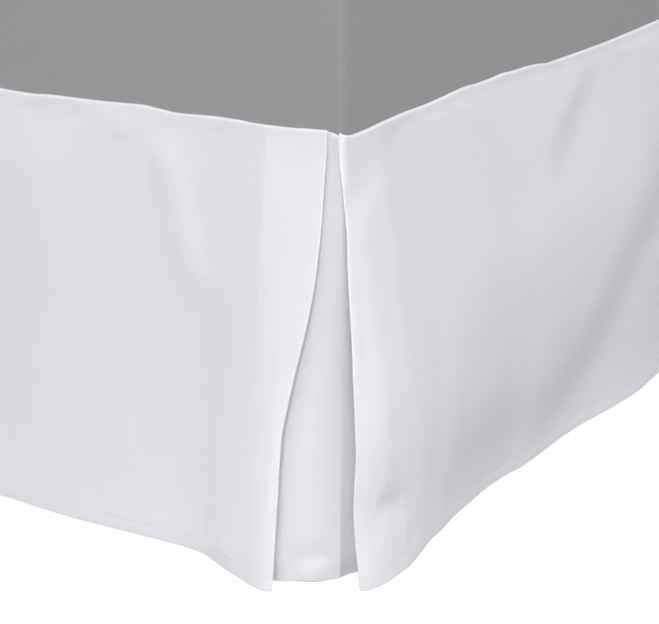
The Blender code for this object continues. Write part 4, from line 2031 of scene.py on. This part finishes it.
@dataclass(frozen=True)
class Studio:
    """A pale floor, soft lights and the camera, in metres and radians.

    The lens and the sensor are in millimetres. The world's strength is low below the
    horizon and high above it.
    """

    camera_place: tuple[float, float, float] = (1.7114, -2.5319, 0.7985)
    camera_turn: tuple[float, float, float] = (1.2703, 0.0, 0.5581)
    lens: float = 128.1
    sensor: float = 36.0
    clip_end: float = 150.0
    floor_half: float = 60.0
    floor_colour: tuple[float, float, float] = (0.93, 0.93, 0.93)
    floor_cloud_scale: float = 1.5
    floor_cloud_shades: tuple[float, float] = (0.995, 1.005)
    floor_glow: float = 0.6
    glow_colour: tuple[float, float, float] = (1.0, 0.99, 1.0)
    glow_inset: float = 0.09
    world_colour: tuple[float, float, float] = (1.0, 0.995, 1.0)
    world_high: float = 0.79
    world_low: float = 0.18
    horizon: float = 0.05
    lights: tuple[SoftLight, ...] = (
        SoftLight("key_light", place=(2.8, -5.0, 2.6), size=2.4, power=170.0),
        SoftLight("left_light", place=(-0.9, -4.7, 2.4), size=1.0, power=21.0),
        SoftLight("right_light", place=(2.3, -0.9, 3.2), size=1.0, power=37.0),
    )

    def floor(self) -> bpy.types.Object:
        """Lays the floor, a pale square that glows a little where it is in the open.

        It is open from the glow's inset inside the bed's outline outwards, by the
        greater of the distances past the bed's side and past its end.

        Returns:
            The floor.
        """
        nodes = Nodes("floor_finish")
        place = nodes.add("TexCoord").outputs["Object"]
        clouds = {0: place, "Scale": self.floor_cloud_scale, "Detail": 2.0}
        noise = nodes.add("TexNoise", clouds).outputs[0]
        shade = nodes.range(noise, *self.floor_cloud_shades)
        split = nodes.add("SeparateXYZ", {0: place})
        from_middle = nodes.math("SUBTRACT", split.outputs[1], BED.middle_y * MM)
        across = nodes.math("ABSOLUTE", split.outputs[0])
        past_side = nodes.math("SUBTRACT", across, BED.half_width * MM)
        down = nodes.math("ABSOLUTE", from_middle)
        past_end = nodes.math("SUBTRACT", down, BED.length / 2 * MM)
        past_edge = nodes.math("MAXIMUM", past_side, past_end)
        open_floor = nodes.math("GREATER_THAN", past_edge, -self.glow_inset)
        surface = nodes.add(
            "BsdfPrincipled",
            {
                "Base Color": nodes.grey(shade, self.floor_colour),
                "Roughness": 0.9,
                "Specular IOR Level": 0.0,
                "Emission Color": (*self.glow_colour, 1.0),
                "Emission Strength": nodes.math("MULTIPLY", open_floor, self.floor_glow),
            },
        )
        corners = np.array([[-1, -1, 0], [1, -1, 0], [1, 1, 0], [-1, 1, 0]])
        points = corners * self.floor_half / MM
        mesh = mesh_from("studio_floor", points, np.arange(len(points))[None])
        made = dressed(mesh, nodes.finished(surface))
        made.visible_diffuse = False
        made.visible_shadow = False
        return made

    def camera(self) -> bpy.types.Object:
        """Places the camera, without roll and without depth of field.

        Returns:
            The camera.
        """
        data = bpy.data.cameras.new("view_camera")
        data.sensor_fit = "HORIZONTAL"
        data.sensor_width = self.sensor
        data.lens = self.lens
        data.clip_end = self.clip_end
        made = linked("view_camera", data)
        made.location = self.camera_place
        made.rotation_euler = self.camera_turn
        bpy.context.scene.camera = made
        return made

    def world(self) -> None:
        """Lights the scene evenly from above, and less from below.

        The strength goes from low to high in a straight line over a narrow band at
        the horizon.
        """
        world = bpy.data.worlds.new("studio_world")
        world.use_nodes = True
        tree = world.node_tree
        backdrop = tree.nodes["Background"]
        backdrop.inputs["Color"].default_value = (*self.world_colour, 1.0)
        split = tree.nodes.new("ShaderNodeSeparateXYZ")
        blend = tree.nodes.new("ShaderNodeMapRange")
        limits = {
            "From Min": -self.horizon,
            "From Max": self.horizon,
            "To Min": self.world_low,
            "To Max": self.world_high,
        }
        for name, value in limits.items():
            blend.inputs[name].default_value = value
        direction = tree.nodes.new("ShaderNodeTexCoord").outputs["Generated"]
        tree.links.new(direction, split.inputs[0])
        tree.links.new(split.outputs[2], blend.inputs["Value"])
        tree.links.new(blend.outputs[0], backdrop.inputs["Strength"])
        bpy.context.scene.world = world

    def build(self) -> None:
        """Builds the floor, the lights, the world and the camera."""
        self.floor()
        for light in self.lights:
            light.make()
        self.world()
        bpy.context.scene.view_settings.view_transform = "Standard"
        self.camera()


# ---------------------------------------------------------------- the whole bed skirt


SKIRT_SLOT = "skirt_cloth"
DROPS = (
    FootDrop(
        name="skirt_foot",
        node="foot_drop",
        flat_width_m=1.642,
        hem_out=FOOT_HEM,
        top_rise=FOOT_TOP,
        shapes=FOOT_SHAPES,
        seed=11,
        hang=1.1,
    ),
    SideDrop(
        name="skirt_right",
        node="right_drop",
        flat_width_m=2.128,
        hem_out=RIGHT_HEM,
        top_rise=SIDE_TOP,
        shapes=RIGHT_SHAPES,
        seed=23,
        hang=1.25,
        side=Side.RIGHT,
        pleat=RIGHT_PLEAT,
    ),
    SideDrop(
        name="skirt_left",
        node="left_drop",
        flat_width_m=2.128,
        hem_out=LEFT_HEM,
        top_rise=SIDE_TOP,
        shapes=LEFT_SHAPES,
        seed=37,
        hang=1.25,
        side=Side.LEFT,
        pleat=LEFT_PLEAT,
    ),
)
UNDERLAYS = (
    Underlay(
        name="underlay_cloth_right",
        node="underlay_right",
        side=Side.RIGHT,
        pleat=RIGHT_PLEAT,
        foot_flare=1.0,
        side_flare=1.0,
    ),
    Underlay(
        name="underlay_cloth_left",
        node="underlay_left",
        side=Side.LEFT,
        pleat=LEFT_PLEAT,
        foot_flare=0.8,
        side_flare=0.96,
    ),
)
MATTRESS = WrappedBlock(
    name="mattress_block",
    out=BED.mattress_out,
    low=BED.mattress_low,
    high=BED.mattress_high,
    corner=6.0,
    low_edge=1.2,
    edge=5.0,
    crown=3.0,
    softness=0.4,
    follows_seam=True,
)
BOX_SPRING = WrappedBlock(
    name="box_spring_block",
    out=BED.box_spring_out,
    low=BED.box_spring_low,
    high=BED.box_spring_high,
    corner=10.0,
    low_edge=4.0,
    edge=4.0,
)


def placed(piece: bpy.types.Object, slot: str, *nodes: str) -> bpy.types.Object:
    """Rides a piece on the body and hides the CAD nodes that it stands for.

    Args:
        piece: The piece.
        slot: A material slot's name, which is not used.
        nodes: The CAD nodes that it stands for.

    Returns:
        The piece.
    """
    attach(piece, ROOT)
    if nodes:
        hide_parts(*nodes)
    LOG.info("%s: %d vertices", piece.name, len(piece.data.vertices))
    return piece


def build_skirt(finishes: Finishes) -> None:
    """Args:
        finishes: The materials.
    """
    deck = placed(Deck().make(finishes.skirt), SKIRT_SLOT, "deck")
    for drop in DROPS:
        sheet = placed(drop.make(finishes.skirt), SKIRT_SLOT, drop.node)
        thread = Stitching().make(f"{drop.name}_stitches", *drop.stitch_line(), finishes.skirt)
        placed(thread, SKIRT_SLOT)
    for underlay in UNDERLAYS:
        sheet = placed(underlay.make(finishes.skirt), SKIRT_SLOT, underlay.node)


def build_bed(finishes: Finishes) -> None:
    """Args:
        finishes: The materials.
    """
    mattress = placed(MATTRESS.make(finishes.mattress), "mattress_cloth", "mattress")
    box_spring = placed(BOX_SPRING.make(finishes.box_spring), "box_spring_cloth", "box_spring")
    for leg in Legs().make(finishes.wood):
        placed(leg, "leg_wood", leg.name.removeprefix("wood_"))


def main() -> None:
    """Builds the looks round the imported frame, in order."""
    logging.basicConfig(level=logging.INFO, format="%(name)s: %(message)s")
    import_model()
    Studio().build()
    box_spring = KnitFinish("box_spring_finish", colour=(0.2, 0.2, 0.21), rib_pitch=0.002)
    finishes = Finishes(
        skirt=SkirtClothFinish().make(),
        mattress=KnitFinish("mattress_finish", colour=(0.266, 0.266, 0.271)).make(),
        box_spring=box_spring.make(),
        wood=LegWoodFinish().make(),
    )
    build_bed(finishes)
    build_skirt(finishes)


if __name__ == "__main__":
    main()
